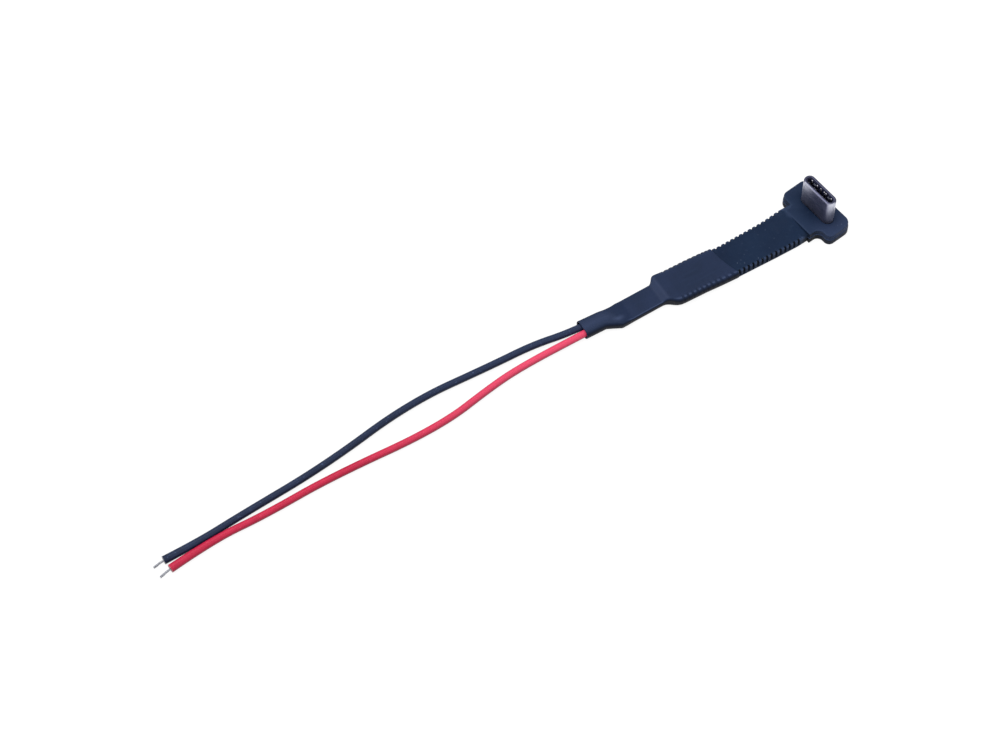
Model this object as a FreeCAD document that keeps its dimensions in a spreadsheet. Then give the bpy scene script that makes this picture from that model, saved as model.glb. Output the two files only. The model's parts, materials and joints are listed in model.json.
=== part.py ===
import FreeCAD, Part
import enum
import math
import operator
import os
import Sketcher
from FreeCAD import Placement, Rotation, Vector

# A short lead with an upright oval data and power plug: the plug stands on a T-shaped head, the head runs
# out into a flat strap with toothed edges, and a shrunk sleeve joins the strap's flat circuit to a red and
# a black wire. +X runs along the strap towards the plug, +Y across it, +Z up the plug. The origin lies on
# the surface that the lead rests on, below the middle of head, strap and sleeve. Reaches along X are
# counted from the plug's axis.

doc = FreeCAD.newDocument("upright_plug_lead")
sheet = doc.addObject("Spreadsheet::Sheet", "Sizes")

SIZES = [
    ("head_turn", "7.0", "degrees that head and plug are turned by on the soft strap"),
    ("head_width", "13.5", "T-shaped head, over its two ears"),
    ("head_front", "3.1", "plug axis to the head's far face"),
    ("head_back", "2.8", "plug axis to the ears' near face"),
    ("head_thickness", "2.75", ""),
    ("ear_far_radius", "1.6", "ear corners on the far face"),
    ("ear_near_radius", "1.25", "ear corners on the near face"),
    ("ear_notch_radius", "1.25", "hollow between ear and stem"),
    ("head_edge_radius", "0.3", "upper edge of the head"),
    ("parting_height", "1.45", "surface to the ledge round the head"),
    ("ledge_width", "0.1", ""),
    ("stem_width", "7.5", "raised stem between head and strap"),
    ("stem_reach", "5.2", ""),
    ("strap_width", "7.15", "over the teeth"),
    ("strap_thickness", "1.8", ""),
    ("strap_reach", "35.0", ""),
    ("tooth_first", "6.9", "plug axis to the middle of the first gap"),
    ("tooth_pitch", "1.05", ""),
    ("tooth_gap", "0.5", "gap at the strap's edge"),
    ("tooth_root_gap", "0.3", "gap at its bottom"),
    ("tooth_depth", "0.35", ""),
    ("plug_width", "8.25", "shell, long way of the oval"),
    ("plug_depth", "2.4", "shell, short way"),
    ("plug_exposed", "6.65", "shell above the head"),
    ("shell_wall", "0.25", ""),
    ("shell_relief", "0.06", "dark gap round the shell's foot"),
    ("shell_edge_radius", "0.18", "outer edge of the mouth"),
    ("lip_width", "0.4", "rim of the mouth, turned inward"),
    ("lip_thickness", "0.3", ""),
    ("fit_clearance", "0.03", "insulator in its shell, springs in their slots"),
    ("cavity_width", "6.9", "hollow for the socket's tongue"),
    ("cavity_gap", "1.1", ""),
    ("cavity_depth", "5.7", "below the mouth"),
    ("contact_pitch", "0.5", ""),
    ("contact_width", "0.25", ""),
    ("contact_thickness", "0.15", ""),
    ("slot_depth", "0.25", "contact slots in the hollow's long walls"),
    ("slot_end", "0.9", "mouth to the upper end of the slots"),
    ("nose_depth", "1.9", "mouth to the contact's nose"),
    ("nose_rise", "0.3", "nose above the hollow's wall"),
    ("nose_run", "0.9", "length of the bend on each side of the nose"),
    ("latch_thickness", "0.3", "flat spring between the contact rows"),
    ("latch_arm", "0.4", ""),
    ("latch_hook", "0.35", ""),
    ("latch_depth", "1.0", "mouth to the latch arm's tip"),
    ("latch_hook_height", "0.8", ""),
    ("finger_depth", "0.85", "mouth to the ground spring's upper edge"),
    ("finger_height", "0.5", "ground spring's window"),
    ("finger_width", "0.6", ""),
    ("finger_spacing", "4.0", "between the two fingers of a ground spring"),
    ("finger_rise", "0.15", "ground spring into the hollow"),
    ("ground_spring_width", "5.2", ""),
    ("ground_spring_height", "1.6", ""),
    ("ground_spring_thickness", "0.1", ""),
    ("board_length", "4.8", "small board under the plug, along the strap"),
    ("board_width", "9.6", ""),
    ("board_thickness", "0.6", ""),
    ("film_width", "5.4", "flat circuit in the strap"),
    ("film_thickness", "0.2", ""),
    ("film_tail_width", "3.4", "its narrow tail in the sleeve's neck"),
    ("film_tail", "12.6", "film past the strap's end"),
    ("trace_width", "1.3", ""),
    ("trace_thickness", "0.07", ""),
    ("trace_spacing", "1.7", "between the two conductors' middles"),
    ("trace_end", "0.7", "bare film past a conductor's end"),
    ("stiffener_gap", "3.0", "strap's end to the strip under the film's tail"),
    ("stiffener_thickness", "0.3", ""),
    ("chip_length", "1.0", "resistor on the film"),
    ("chip_width", "0.5", ""),
    ("chip_height", "0.35", ""),
    ("chip_reach", "3.4", ""),
    ("chip_side", "1.9", "distance from the strap's middle"),
    ("wire_diameter", "1.4", "over the insulation"),
    ("strand_diameter", "0.55", "bare tinned strands"),
    ("tip_bend", "0.9", "insulation to the bend of the bare tip"),
    ("joint_inset", "1.2", "film's end to the middle of the solder joints"),
    ("joint_length", "1.6", ""),
    ("joint_height", "0.6", ""),
    ("strand_end", "0.1", "strands' ends to the solder joints' far edge"),
    ("sleeve_wall", "0.25", "shrunk sleeve"),
    ("sleeve_clearance", "0.05", ""),
    ("sleeve_overlap", "13.2", "sleeve over the strap's end"),
    ("shoulder_margin", "0.8", "strap's end to the sleeve's shoulder"),
    ("shoulder_run", "1.3", "shoulder down to the flat neck"),
    ("neck_margin", "3.4", "neck's end to the film's end"),
    ("bulge_margin", "0.2", "full height before and after the solder joints"),
    ("tube_run", "1.6", "bulge down to the tube"),
    ("tube_length", "4.3", ""),
    ("neck_width", "4.75", ""),
    ("neck_offset", "0.8", "the neck and tube lie to one side"),
    ("tube_offset", "1.55", ""),
    ("tube_slack_width", "0.55", "room beside the wires in the tube"),
    ("tube_slack_height", "0.4", ""),
    ("sleeve_inner_corner", "0.11", "inner corner of the wide part"),
    ("oval_share", "0.45", "inner corner of neck and tube, of their height"),
]

for row, (alias, number, note) in enumerate(SIZES, start=1):
    sheet.set(f"A{row}", alias)
    sheet.set(f"B{row}", number)
    sheet.setAlias(f"B{row}", alias)
    sheet.set(f"C{row}", note)
doc.recompute()

SIGNS = {"+": operator.add, "-": operator.sub, "*": operator.mul, "/": operator.truediv}


class Size:
    """A length as the formula that binds it to the sheet, with the number that the formula gives now."""

    def __init__(self, text, value):
        self.text = text
        self.value = value

    def joined(self, sign, other, swapped=False):
        """This size and another, joined by one arithmetic sign."""
        first, second = self, as_size(other)
        if swapped:
            first, second = second, first
        return Size(f"({first.text} {sign} {second.text})", SIGNS[sign](first.value, second.value))

    def __add__(self, other):
        return self.joined("+", other)

    def __radd__(self, other):
        return self.joined("+", other, swapped=True)

    def __sub__(self, other):
        return self.joined("-", other)

    def __rsub__(self, other):
        return self.joined("-", other, swapped=True)

    def __mul__(self, other):
        return self.joined("*", other)

    def __rmul__(self, other):
        return self.joined("*", other, swapped=True)

    def __truediv__(self, other):
        return self.joined("/", other)

    def __neg__(self):
        return self.joined("*", -1)


def as_size(thing):
    """A plain number becomes a size with itself as its formula."""
    return thing if isinstance(thing, Size) else Size(f"({thing})", float(thing))


def cell(alias):
    """The size that a cell of the sheet holds."""
    return Size(f"Sizes.{alias}", float(sheet.get(alias)))


def whole_steps(length, step):
    """How many whole steps a length holds."""
    return Size(f"floor({length.text} / {step.text})", math.floor(length.value / step.value))


def least(one, other):
    """The smaller of two sizes."""
    return Size(f"min({one.text}; {other.text})", min(one.value, other.value))


def bind(thing, path, size):
    """Ties one property of an object to a size."""
    thing.setExpression(path, as_size(size).text)


def place(thing, x=0, y=0, z=0, rotation=Rotation()):
    """Puts an object at three sizes."""
    x, y, z = as_size(x), as_size(y), as_size(z)
    thing.Placement = Placement(Vector(x.value, y.value, z.value), rotation)
    bind(thing, "Placement.Base.x", x)
    bind(thing, "Placement.Base.y", y)
    bind(thing, "Placement.Base.z", z)


HALF_TURN = 180


def turned_point(along, across):
    """A point given by two sizes from the plug's axis in the turned head, as the same point on the strap."""
    return along * turn_cos - across * turn_sin, along * turn_sin + across * turn_cos


def place_on_head(thing, along=0, across=0, z=0, reversed_row=False):
    """Puts an object at three sizes from the plug's axis, turned with the head, or facing back along it."""
    u, v = turned_point(as_size(along), as_size(across))
    angle = s["head_turn"] + (HALF_TURN if reversed_row else 0)
    place(thing, plug_x + u, v, z, Rotation(Vector(0, 0, 1), angle.value))
    bind(thing, "Placement.Rotation.Angle", angle)


def block(name, x, y, z):
    """A block with the sizes that two limits each way leave."""
    made = doc.addObject("Part::Box", name)
    bind(made, "Length", x[1] - x[0])
    bind(made, "Width", as_size(y[1]) - y[0])
    bind(made, "Height", as_size(z[1]) - z[0])
    return made


def box(name, x, y, z):
    """A block on the strap, between two limits each way, the limits along X counted from the plug's axis."""
    made = block(name, x, y, z)
    place(made, plug_x + x[0], y[0], z[0])
    return made


def head_box(name, x, y, z):
    """A block in the turned head, between two limits each way from the plug's axis."""
    made = block(name, x, y, z)
    place_on_head(made, x[0], y[0], z[0])
    return made


def round_point(x, length, y, width):
    """The limits of a block round a point in plan."""
    return (as_size(x) - length / 2, as_size(x) + length / 2), (y - width / 2, y + width / 2)


def fuse(name, pieces):
    """Several objects as one solid."""
    joined = doc.addObject("Part::MultiFuse", name)
    joined.Shapes = pieces
    joined.Refine = True
    return joined


def cut(name, base, tool):
    """One object with another taken out of it."""
    rest = doc.addObject("Part::Cut", name)
    rest.Base = base
    rest.Tool = tool
    return rest


def oval(name, width, depth, low, high):
    """An upright prism on the plug's axis, turned with it, whose section is a rectangle with round ends."""
    side = (width - depth) / 2
    pieces = [head_box(f"{name}_flat", (-depth / 2, depth / 2), (-side, side), (low, high))]
    for end, y in (("left", side), ("right", -side)):
        post = doc.addObject("Part::Cylinder", f"{name}_{end}")
        bind(post, "Radius", depth / 2)
        bind(post, "Height", high - low)
        place_on_head(post, 0, y, low)
        pieces.append(post)
    return fuse(name, pieces)


def new_body(name):
    """A part body whose own origin is on the plug's axis, on the surface that the lead rests on."""
    body = doc.addObject("PartDesign::Body", name)
    place(body, plug_x)
    return body


def new_sketch(body, name, role, offset=0):
    """A sketch on one of the body's origin planes, moved along the plane's normal."""
    sketch = body.newObject("Sketcher::SketchObject", name)
    plane = [feature for feature in body.Origin.OriginFeatures if feature.Role == role][0]
    sketch.AttachmentSupport = [(plane, "")]
    sketch.MapMode = "FlatFace"
    offset = as_size(offset)
    sketch.AttachmentOffset = Placement(Vector(0, 0, offset.value), Rotation())
    bind(sketch, "AttachmentOffset.Base.z", offset)
    return sketch


class Spot(enum.IntEnum):
    """The spots on a sketch's curve that a constraint can hold."""

    START = 1
    END = 2
    CENTRE = 3


def pin_point(sketch, curve, end, u, v):
    """Ties one point of a sketch to two sizes, counted from the sketch's origin."""
    for kind, size in (("DistanceX", as_size(u)), ("DistanceY", as_size(v))):
        index = sketch.addConstraint(Sketcher.Constraint(kind, -1, Spot.START, curve, end, size.value))
        bind(sketch, f"Constraints[{index}]", size)


def polygon(sketch, points):
    """A closed outline of straight lines through points given as pairs of sizes."""
    corners = [(as_size(u), as_size(v)) for u, v in points]
    first = sketch.GeometryCount
    for (u, v), (next_u, next_v) in zip(corners, corners[1:] + corners[:1]):
        start = Vector(u.value, v.value, 0)
        finish = Vector(next_u.value, next_v.value, 0)
        sketch.addGeometry(Part.LineSegment(start, finish), False)
    for number, (u, v) in enumerate(corners):
        after = first + (number + 1) % len(corners)
        joint = (first + number, Spot.END, after, Spot.START)
        sketch.addConstraint(Sketcher.Constraint("Coincident", *joint))
        pin_point(sketch, first + number, Spot.START, u, v)


def rectangle(sketch, u, v):
    """A closed rectangle between two limits each way."""
    polygon(sketch, [(u[0], v[0]), (u[1], v[0]), (u[1], v[1]), (u[0], v[1])])


def round_rectangle(sketch, middle, width, low, high, radius):
    """A closed rectangle with round corners, for the sections of the sleeve."""
    left, right = middle - width / 2, middle + width / 2
    centres = [(right - radius, low + radius), (right - radius, high - radius)]
    centres += [(left + radius, high - radius), (left + radius, low + radius)]
    starts = (-math.pi / 2, 0, math.pi / 2, math.pi)
    for (u, v), start in zip(centres, starts):
        circle = Part.Circle(Vector(u.value, v.value, 0), Vector(0, 0, 1), radius.value)
        sketch.addGeometry(Part.ArcOfCircle(circle, start, start + math.pi / 2), False)
    for corner, (u, v) in enumerate(centres):
        pin_point(sketch, corner, Spot.CENTRE, u, v)
    index = sketch.addConstraint(Sketcher.Constraint("Radius", 0, radius.value))
    bind(sketch, f"Constraints[{index}]", radius)
    for corner in range(1, len(centres)):
        sketch.addConstraint(Sketcher.Constraint("Equal", 0, corner))
    for corner in range(len(centres)):
        after = (corner + 1) % len(centres)
        from_point = sketch.getPoint(corner, Spot.END)
        to_point = sketch.getPoint(after, Spot.START)
        line = sketch.addGeometry(Part.LineSegment(from_point, to_point), False)
        sketch.addConstraint(Sketcher.Constraint("Tangent", corner, Spot.END, line, Spot.START))
        sketch.addConstraint(Sketcher.Constraint("Tangent", line, Spot.END, after, Spot.START))


def pad(body, name, sketch, length, midplane=False):
    """A prism on a sketch."""
    feature = body.newObject("PartDesign::Pad", name)
    feature.Profile = sketch
    bind(feature, "Length", length)
    feature.Midplane = midplane
    return feature


def edges_where(shape, test):
    """Names of the edges whose middle passes a test."""
    return [f"Edge{n}" for n, edge in enumerate(shape.Edges, start=1) if test(edge, edge.CenterOfMass)]


def round_edges(body, name, base, radius, test):
    """A fillet on the edges of a body's feature that pass a test."""
    doc.recompute()
    feature = body.newObject("PartDesign::Fillet", name)
    feature.Base = (base, edges_where(base.Shape, test))
    bind(feature, "Radius", radius)
    return feature


CLOSE = 1e-4


def near(one, other):
    """True for two numbers that are the same but for rounding."""
    return abs(one - other) < CLOSE


s = {alias: cell(alias) for alias, number, note in SIZES}
turn_angle = math.radians(s["head_turn"].value)
turn_cos = Size(f"cos({s['head_turn'].text} * 1 deg)", math.cos(turn_angle))
turn_sin = Size(f"sin({s['head_turn'].text} * 1 deg)", math.sin(turn_angle))

# Reaches along X, from the plug's axis back to the sleeve's open end.
film_reach = s["strap_reach"] + s["film_tail"]
joint_reach = film_reach - s["joint_inset"]
sleeve_start = s["strap_reach"] - s["sleeve_overlap"]
shoulder_start = s["strap_reach"] + s["shoulder_margin"]
neck_start = shoulder_start + s["shoulder_run"]
neck_end = film_reach - s["neck_margin"]
bulge_start = joint_reach - s["joint_length"] / 2 - s["bulge_margin"]
bulge_end = joint_reach + s["joint_length"] / 2 + s["bulge_margin"]
tube_start = bulge_end + s["tube_run"]
tail_reach = tube_start + s["tube_length"]
far_corner = (s["head_front"] - s["ear_far_radius"], s["ear_far_radius"] - s["head_width"] / 2)
front_reach = turned_point(*far_corner)[0] + s["ear_far_radius"]
plug_x = (tail_reach - front_reach) / 2

# Heights, from the surface up. The sleeve lies on the surface and the strap in it, so the strap is raised
# by the sleeve's wall.
strap_low = s["sleeve_wall"] + s["sleeve_clearance"]
strap_high = strap_low + s["strap_thickness"]
film_high = strap_low + s["strap_thickness"] / 2 + s["film_thickness"] / 2
film_low = film_high - s["film_thickness"]
board_low = film_low - s["board_thickness"]
head_high = s["head_thickness"]
mouth = head_high + s["plug_exposed"]


# The flat circuit: a film with a wide pad under the plug and a narrow tail, and two conductors set flush
# in it.
tail_left = s["film_width"] / 2
tail_right = tail_left - s["film_tail_width"]
tail_middle = (tail_left + tail_right) / 2

film_blank = new_body("film_blank")
film_sketch = new_sketch(film_blank, "film_outline", "XY_Plane", film_low)
pad_end, pad_side = s["board_length"] / 2, s["board_width"] / 2


def pad_back_at(side):
    """The point where the turned pad's near edge crosses a line along the strap."""
    return (-pad_end - side * turn_sin) / turn_cos, side


polygon(
    film_sketch,
    [
        turned_point(pad_end, pad_side),
        turned_point(-pad_end, pad_side),
        pad_back_at(s["film_width"] / 2),
        (-film_reach, tail_left),
        (-film_reach, tail_right),
        (-s["strap_reach"], tail_right),
        (-s["strap_reach"], -s["film_width"] / 2),
        pad_back_at(-s["film_width"] / 2),
        turned_point(-pad_end, -pad_side),
        turned_point(pad_end, -pad_side),
    ],
)
pad(film_blank, "film_pad", film_sketch, s["film_thickness"])

traces = {}
for trace_name, side in (("ground_conductor", 1), ("supply_conductor", -1)):
    limits = round_point(
        (pad_end - film_reach) / 2,
        film_reach + pad_end - 2 * s["trace_end"],
        tail_middle + side * s["trace_spacing"] / 2,
        s["trace_width"],
    )
    traces[trace_name] = box(trace_name, *limits, (film_high - s["trace_thickness"], film_high))
flex_film = cut("flex_film", film_blank, fuse("conductor_grooves", list(traces.values())))

plug_board = head_box("plug_board", (-pad_end, pad_end), (-pad_side, pad_side), (board_low, film_low))
tail_stiffener = box(
    "tail_stiffener",
    (-film_reach, -s["strap_reach"] - s["stiffener_gap"]),
    (tail_right, tail_left),
    (film_low - s["stiffener_thickness"], film_low),
)
chip_limits = round_point(-s["chip_reach"], s["chip_width"], -s["chip_side"], s["chip_length"])
pull_down_resistor = box("pull_down_resistor", *chip_limits, (film_high, film_high + s["chip_height"]))


# The head and strap, moulded in one piece round the board and the film.
head_moulding = new_body("head_moulding")
place_on_head(head_moulding)
levels = [
    ("lower", as_size(0), as_size(0), s["parting_height"]),
    ("upper", s["ledge_width"], s["parting_height"], head_high),
]
for level_name, inset, low, high in levels:
    bar_sketch = new_sketch(head_moulding, f"{level_name}_bar_outline", "XY_Plane", low)
    side = s["head_width"] / 2 - inset
    rectangle(bar_sketch, (-s["head_back"] + inset, s["head_front"] - inset), (-side, side))
    pad(head_moulding, f"{level_name}_bar", bar_sketch, high - low)
    stem_sketch = new_sketch(head_moulding, f"{level_name}_stem_outline", "XY_Plane", low)
    side = s["stem_width"] / 2 - inset
    rectangle(stem_sketch, (-s["stem_reach"] + inset, 0), (-side, side))
    rounded = pad(head_moulding, f"{level_name}_stem", stem_sketch, high - low)


def upright_at(x, y):
    """A test for the upright edges at a place and at its mirror image across the strap."""
    def test(edge, middle):
        first, last = edge.Vertexes[0], edge.Vertexes[-1]
        upright = near(first.X, last.X) and near(first.Y, last.Y)
        return upright and near(middle.x, x.value) and near(abs(middle.y), y.value)
    return test


NEAR_SHARE = 0.52
NOTCH_SHARE = 0.46
ear_wall = (s["head_width"] - s["stem_width"]) / 2
near_radius = least(s["ear_near_radius"], ear_wall * NEAR_SHARE)
notch_radius = least(s["ear_notch_radius"], ear_wall * NOTCH_SHARE)
for level_name, inset, low, high in levels:
    back = -s["head_back"] + inset
    side = s["head_width"] / 2 - inset
    stem_side = s["stem_width"] / 2 - inset
    for corners, radius, test in (
        ("far_corners", s["ear_far_radius"] - inset, upright_at(s["head_front"] - inset, side)),
        ("near_corners", near_radius - inset, upright_at(back, side)),
        ("notches", notch_radius + inset, upright_at(back, stem_side)),
    ):
        rounded = round_edges(head_moulding, f"{level_name}_{corners}", rounded, radius, test)


stem_end = -s["stem_reach"] + s["ledge_width"]


def upper_edges(edge, middle):
    """A test for the head's upper edges but the stem's end."""
    return near(edge.BoundBox.ZMin, head_high.value) and not near(middle.x, stem_end.value)


round_edges(head_moulding, "upper_edge", rounded, s["head_edge_radius"], upper_edges)

strap_moulding = new_body("strap_moulding")
strap_sketch = new_sketch(strap_moulding, "strap_outline", "XY_Plane", strap_low)
rectangle(strap_sketch, (-s["strap_reach"], -s["head_back"]), (-s["strap_width"] / 2, s["strap_width"] / 2))
pad(strap_moulding, "strap", strap_sketch, s["strap_thickness"])

tooth_sketch = new_sketch(strap_moulding, "tooth_gaps", "XY_Plane", strap_high)
edge_y = s["strap_width"] / 2
for side in (1, -1):
    polygon(
        tooth_sketch,
        [
            (-s["tooth_first"] - s["tooth_gap"] / 2, side * edge_y),
            (-s["tooth_first"] - s["tooth_root_gap"] / 2, side * (edge_y - s["tooth_depth"])),
            (-s["tooth_first"] + s["tooth_root_gap"] / 2, side * (edge_y - s["tooth_depth"])),
            (-s["tooth_first"] + s["tooth_gap"] / 2, side * edge_y),
        ],
    )
tooth_cut = strap_moulding.newObject("PartDesign::Pocket", "tooth_cut")
tooth_cut.Profile = tooth_sketch
bind(tooth_cut, "Length", s["strap_thickness"])
doc.recompute()
before_teeth = strap_moulding.Shape.Volume
tooth_row = strap_moulding.newObject("PartDesign::LinearPattern", "tooth_row")
tooth_row.Originals = [tooth_cut]
tooth_row.Direction = (tooth_sketch, ["H_Axis"])
tooth_row.Reversed = True
toothed_length = s["strap_reach"] - s["tooth_first"] - s["tooth_gap"]
tooth_steps = whole_steps(toothed_length, s["tooth_pitch"])
bind(tooth_row, "Length", tooth_steps * s["tooth_pitch"])
bind(tooth_row, "Occurrences", tooth_steps + 1)
strap_moulding.Tip = tooth_row
moulding = fuse("moulding", [head_moulding, strap_moulding])

socket = oval(
    "shell_socket",
    s["plug_width"] + 2 * s["shell_relief"],
    s["plug_depth"] + 2 * s["shell_relief"],
    film_high,
    head_high,
)
core = fuse("moulded_in_core", [film_blank, plug_board, pull_down_resistor, socket])
head_and_strap = cut("head_and_strap", moulding, core)


# The plug's shell: a drawn oval tube that stands on the film, its mouth turned inward to a lip.
lip_low = mouth - s["lip_thickness"]
shell_outside = oval("shell_outside", s["plug_width"], s["plug_depth"], film_high, mouth)
bore_width = s["plug_width"] - 2 * s["shell_wall"]
bore_depth = s["plug_depth"] - 2 * s["shell_wall"]
shell_bore = oval("shell_bore", bore_width, bore_depth, film_high, lip_low)
shell_mouth = oval(
    "shell_mouth",
    s["plug_width"] - 2 * s["lip_width"],
    s["plug_depth"] - 2 * s["lip_width"],
    lip_low,
    mouth,
)
shell_blank = cut("shell_blank", shell_outside, fuse("shell_hollow", [shell_bore, shell_mouth]))
doc.recompute()


def is_outside(edge):
    """True for an edge of the mouth's outer outline, a straight or an arc at half the plug's depth."""
    if hasattr(edge.Curve, "Radius"):
        return near(edge.Curve.Radius, s["plug_depth"].value / 2)
    middle = edge.CenterOfMass
    from_line = (middle.x - plug_x.value) * turn_cos.value + middle.y * turn_sin.value
    return near(abs(from_line), s["plug_depth"].value / 2)


plug_shell = doc.addObject("Part::Fillet", "plug_shell")
plug_shell.Base = shell_blank
outer_mouth_edges = [
    (number, s["shell_edge_radius"].value, s["shell_edge_radius"].value)
    for number, edge in enumerate(shell_blank.Shape.Edges, start=1)
    if near(edge.BoundBox.ZMin, mouth.value) and is_outside(edge)
]
plug_shell.Edges = outer_mouth_edges


# The insulator fills the shell up to the lip. Its hollow takes the socket's tongue, its slots the springs.
cavity_low = mouth - s["cavity_depth"]
wall_x = s["cavity_gap"] / 2
slot_x = wall_x + s["slot_depth"]
insulator_depth = bore_depth - 2 * s["fit_clearance"]
insulator_width = bore_width - 2 * s["fit_clearance"]
insulator_blank = oval("insulator_blank", insulator_width, insulator_depth, film_high, lip_low)
cavity = oval("cavity", s["cavity_width"], s["cavity_gap"], cavity_low, lip_low)

FAR_ROW = (1, 4, 5, 7, 9, 12)
NEAR_ROW = (1, 4, 5, 9, 12)
MIDDLE_OF_ROW = 6.5
pins = [("a", number, 1) for number in FAR_ROW] + [("b", number, -1) for number in NEAR_ROW]

nose_x = wall_x - s["nose_rise"]
nose_z = mouth - s["nose_depth"]
nose_reach = s["nose_run"] + s["fit_clearance"]
insulator_cuts = [cavity]
for letter, number, side in pins:
    slot = doc.addObject("Part::Box", f"slot_{letter}{number}")
    slot_width = s["contact_width"] + 2 * s["fit_clearance"]
    slot_y = side * (number - MIDDLE_OF_ROW) * s["contact_pitch"]
    bind(slot, "Length", s["slot_depth"])
    bind(slot, "Width", slot_width)
    bind(slot, "Height", mouth - s["slot_end"] - film_high)
    inner_x = wall_x if side == 1 else -slot_x
    place_on_head(slot, inner_x, slot_y - slot_width / 2, film_high)
    insulator_cuts.append(slot)
    # Room for the nose, which only shows where the hollow ends short of a contact.
    nose_limits = (nose_x - s["fit_clearance"], (wall_x + slot_x) / 2)
    nose_side = (s["contact_width"] + s["fit_clearance"]) / 2
    insulator_cuts.append(
        head_box(
            f"nose_room_{letter}{number}",
            nose_limits if side == 1 else (-nose_limits[1], -nose_limits[0]),
            (slot_y - nose_side, slot_y + nose_side),
            (nose_z - nose_reach, nose_z + nose_reach),
        )
    )

latch_slit_y = s["cavity_width"] / 2
latch_gap = s["latch_thickness"] / 2 + s["fit_clearance"]
insulator_cuts.append(
    head_box("latch_slit", (-latch_gap, latch_gap), (-latch_slit_y, latch_slit_y), (film_high, cavity_low))
)

finger_high = mouth - s["finger_depth"]
finger_low = finger_high - s["finger_height"]
spring_low = finger_high - s["ground_spring_height"]
spring_x = insulator_depth / 2
recess_x = spring_x - s["ground_spring_thickness"] - s["fit_clearance"]
recess_side = s["ground_spring_width"] / 2 + s["fit_clearance"]
for side, row in ((1, "far"), (-1, "near")):
    recess = (recess_x, spring_x) if side == 1 else (-spring_x, -recess_x)
    window = (wall_x, recess_x) if side == 1 else (-recess_x, -wall_x)
    insulator_cuts.append(
        head_box(f"{row}_spring_recess", recess, (-recess_side, recess_side), (spring_low, lip_low))
    )
    for hand, finger in ((1, "left"), (-1, "right")):
        middle = hand * s["finger_spacing"] / 2
        reach = s["finger_width"] / 2 + s["fit_clearance"]
        limits = (finger_low - s["fit_clearance"], finger_high + s["fit_clearance"])
        insulator_cuts.append(
            head_box(f"{row}_{finger}_window", window, (middle - reach, middle + reach), limits)
        )
plug_insulator = cut("plug_insulator", insulator_blank, fuse("insulator_hollows", insulator_cuts))


# The contacts: stamped strips that stand on the film's conductors, lie in their slots and bend in to a nose.
contact_back = slot_x - s["fit_clearance"]
contact_face = contact_back - s["contact_thickness"]
contacts = []
for letter, number, side in pins:
    contact = new_body(f"contact_{letter}{number}")
    contact_y = side * (number - MIDDLE_OF_ROW) * s["contact_pitch"]
    place_on_head(contact, 0, contact_y, reversed_row=side == -1)
    profile = new_sketch(contact, f"profile_{letter}{number}", "XZ_Plane")
    polygon(
        profile,
        [
            (contact_face, film_high),
            (contact_back, film_high),
            (contact_back, nose_z - s["nose_run"]),
            (nose_x + s["contact_thickness"], nose_z),
            (contact_back, nose_z + s["nose_run"]),
            (contact_face, nose_z + s["nose_run"]),
            (nose_x, nose_z),
            (contact_face, nose_z - s["nose_run"]),
        ],
    )
    pad(contact, f"strip_{letter}{number}", profile, s["contact_width"], midplane=True)
    contacts.append(contact)


# The latch spring: one stamped U between the contact rows, its arms in the hollow's ends with a hook on each.
latch_spring = new_body("latch_spring")
place_on_head(latch_spring)
latch_sketch = new_sketch(latch_spring, "latch_outline", "YZ_Plane")
arm_out = latch_slit_y - s["fit_clearance"]
arm_in = arm_out - s["latch_arm"]
arm_high = mouth - s["latch_depth"]
bridge_high = cavity_low - s["fit_clearance"]
hook_low = arm_high - s["latch_hook_height"]
right_half = [
    (arm_out, film_high),
    (arm_out, arm_high),
    (arm_in, arm_high),
    (arm_in - s["latch_hook"], arm_high - s["latch_hook_height"] / 2),
    (arm_in, hook_low),
    (arm_in, bridge_high),
]
left_half = [(-u, v) for u, v in reversed(right_half)]
polygon(latch_sketch, right_half + left_half)
pad(latch_spring, "latch_plate", latch_sketch, s["latch_thickness"], midplane=True)


# The ground springs: on each long side a thin plate in the insulator's outer face, with two bent fingers
# that reach through windows into the hollow.
plate_out = spring_x - s["fit_clearance"] / 2
plate_in = plate_out - s["ground_spring_thickness"]
finger_tip = wall_x - s["finger_rise"]
finger_middle = (finger_low + finger_high) / 2
ground_springs = []
for side, row in ((1, "far"), (-1, "near")):
    spring = new_body(f"ground_spring_{row}")
    place_on_head(spring, reversed_row=side == -1)
    plate = new_sketch(spring, f"{row}_plate_profile", "XZ_Plane")
    rectangle(plate, (plate_in, plate_out), (spring_low + s["fit_clearance"], lip_low - s["fit_clearance"]))
    pad(spring, f"{row}_plate", plate, s["ground_spring_width"], midplane=True)
    for hand, finger in ((1, "left"), (-1, "right")):
        bend = new_sketch(spring, f"{row}_{finger}_bend", "XZ_Plane", hand * s["finger_spacing"] / 2)
        polygon(
            bend,
            [
                (plate_in, finger_low),
                (plate_in, finger_low + s["ground_spring_thickness"]),
                (finger_tip + s["ground_spring_thickness"], finger_middle),
                (plate_in, finger_high - s["ground_spring_thickness"]),
                (plate_in, finger_high),
                (finger_tip, finger_middle),
            ],
        )
        pad(spring, f"{row}_{finger}_finger", bend, s["finger_width"], midplane=True)
    ground_springs.append(spring)


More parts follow.
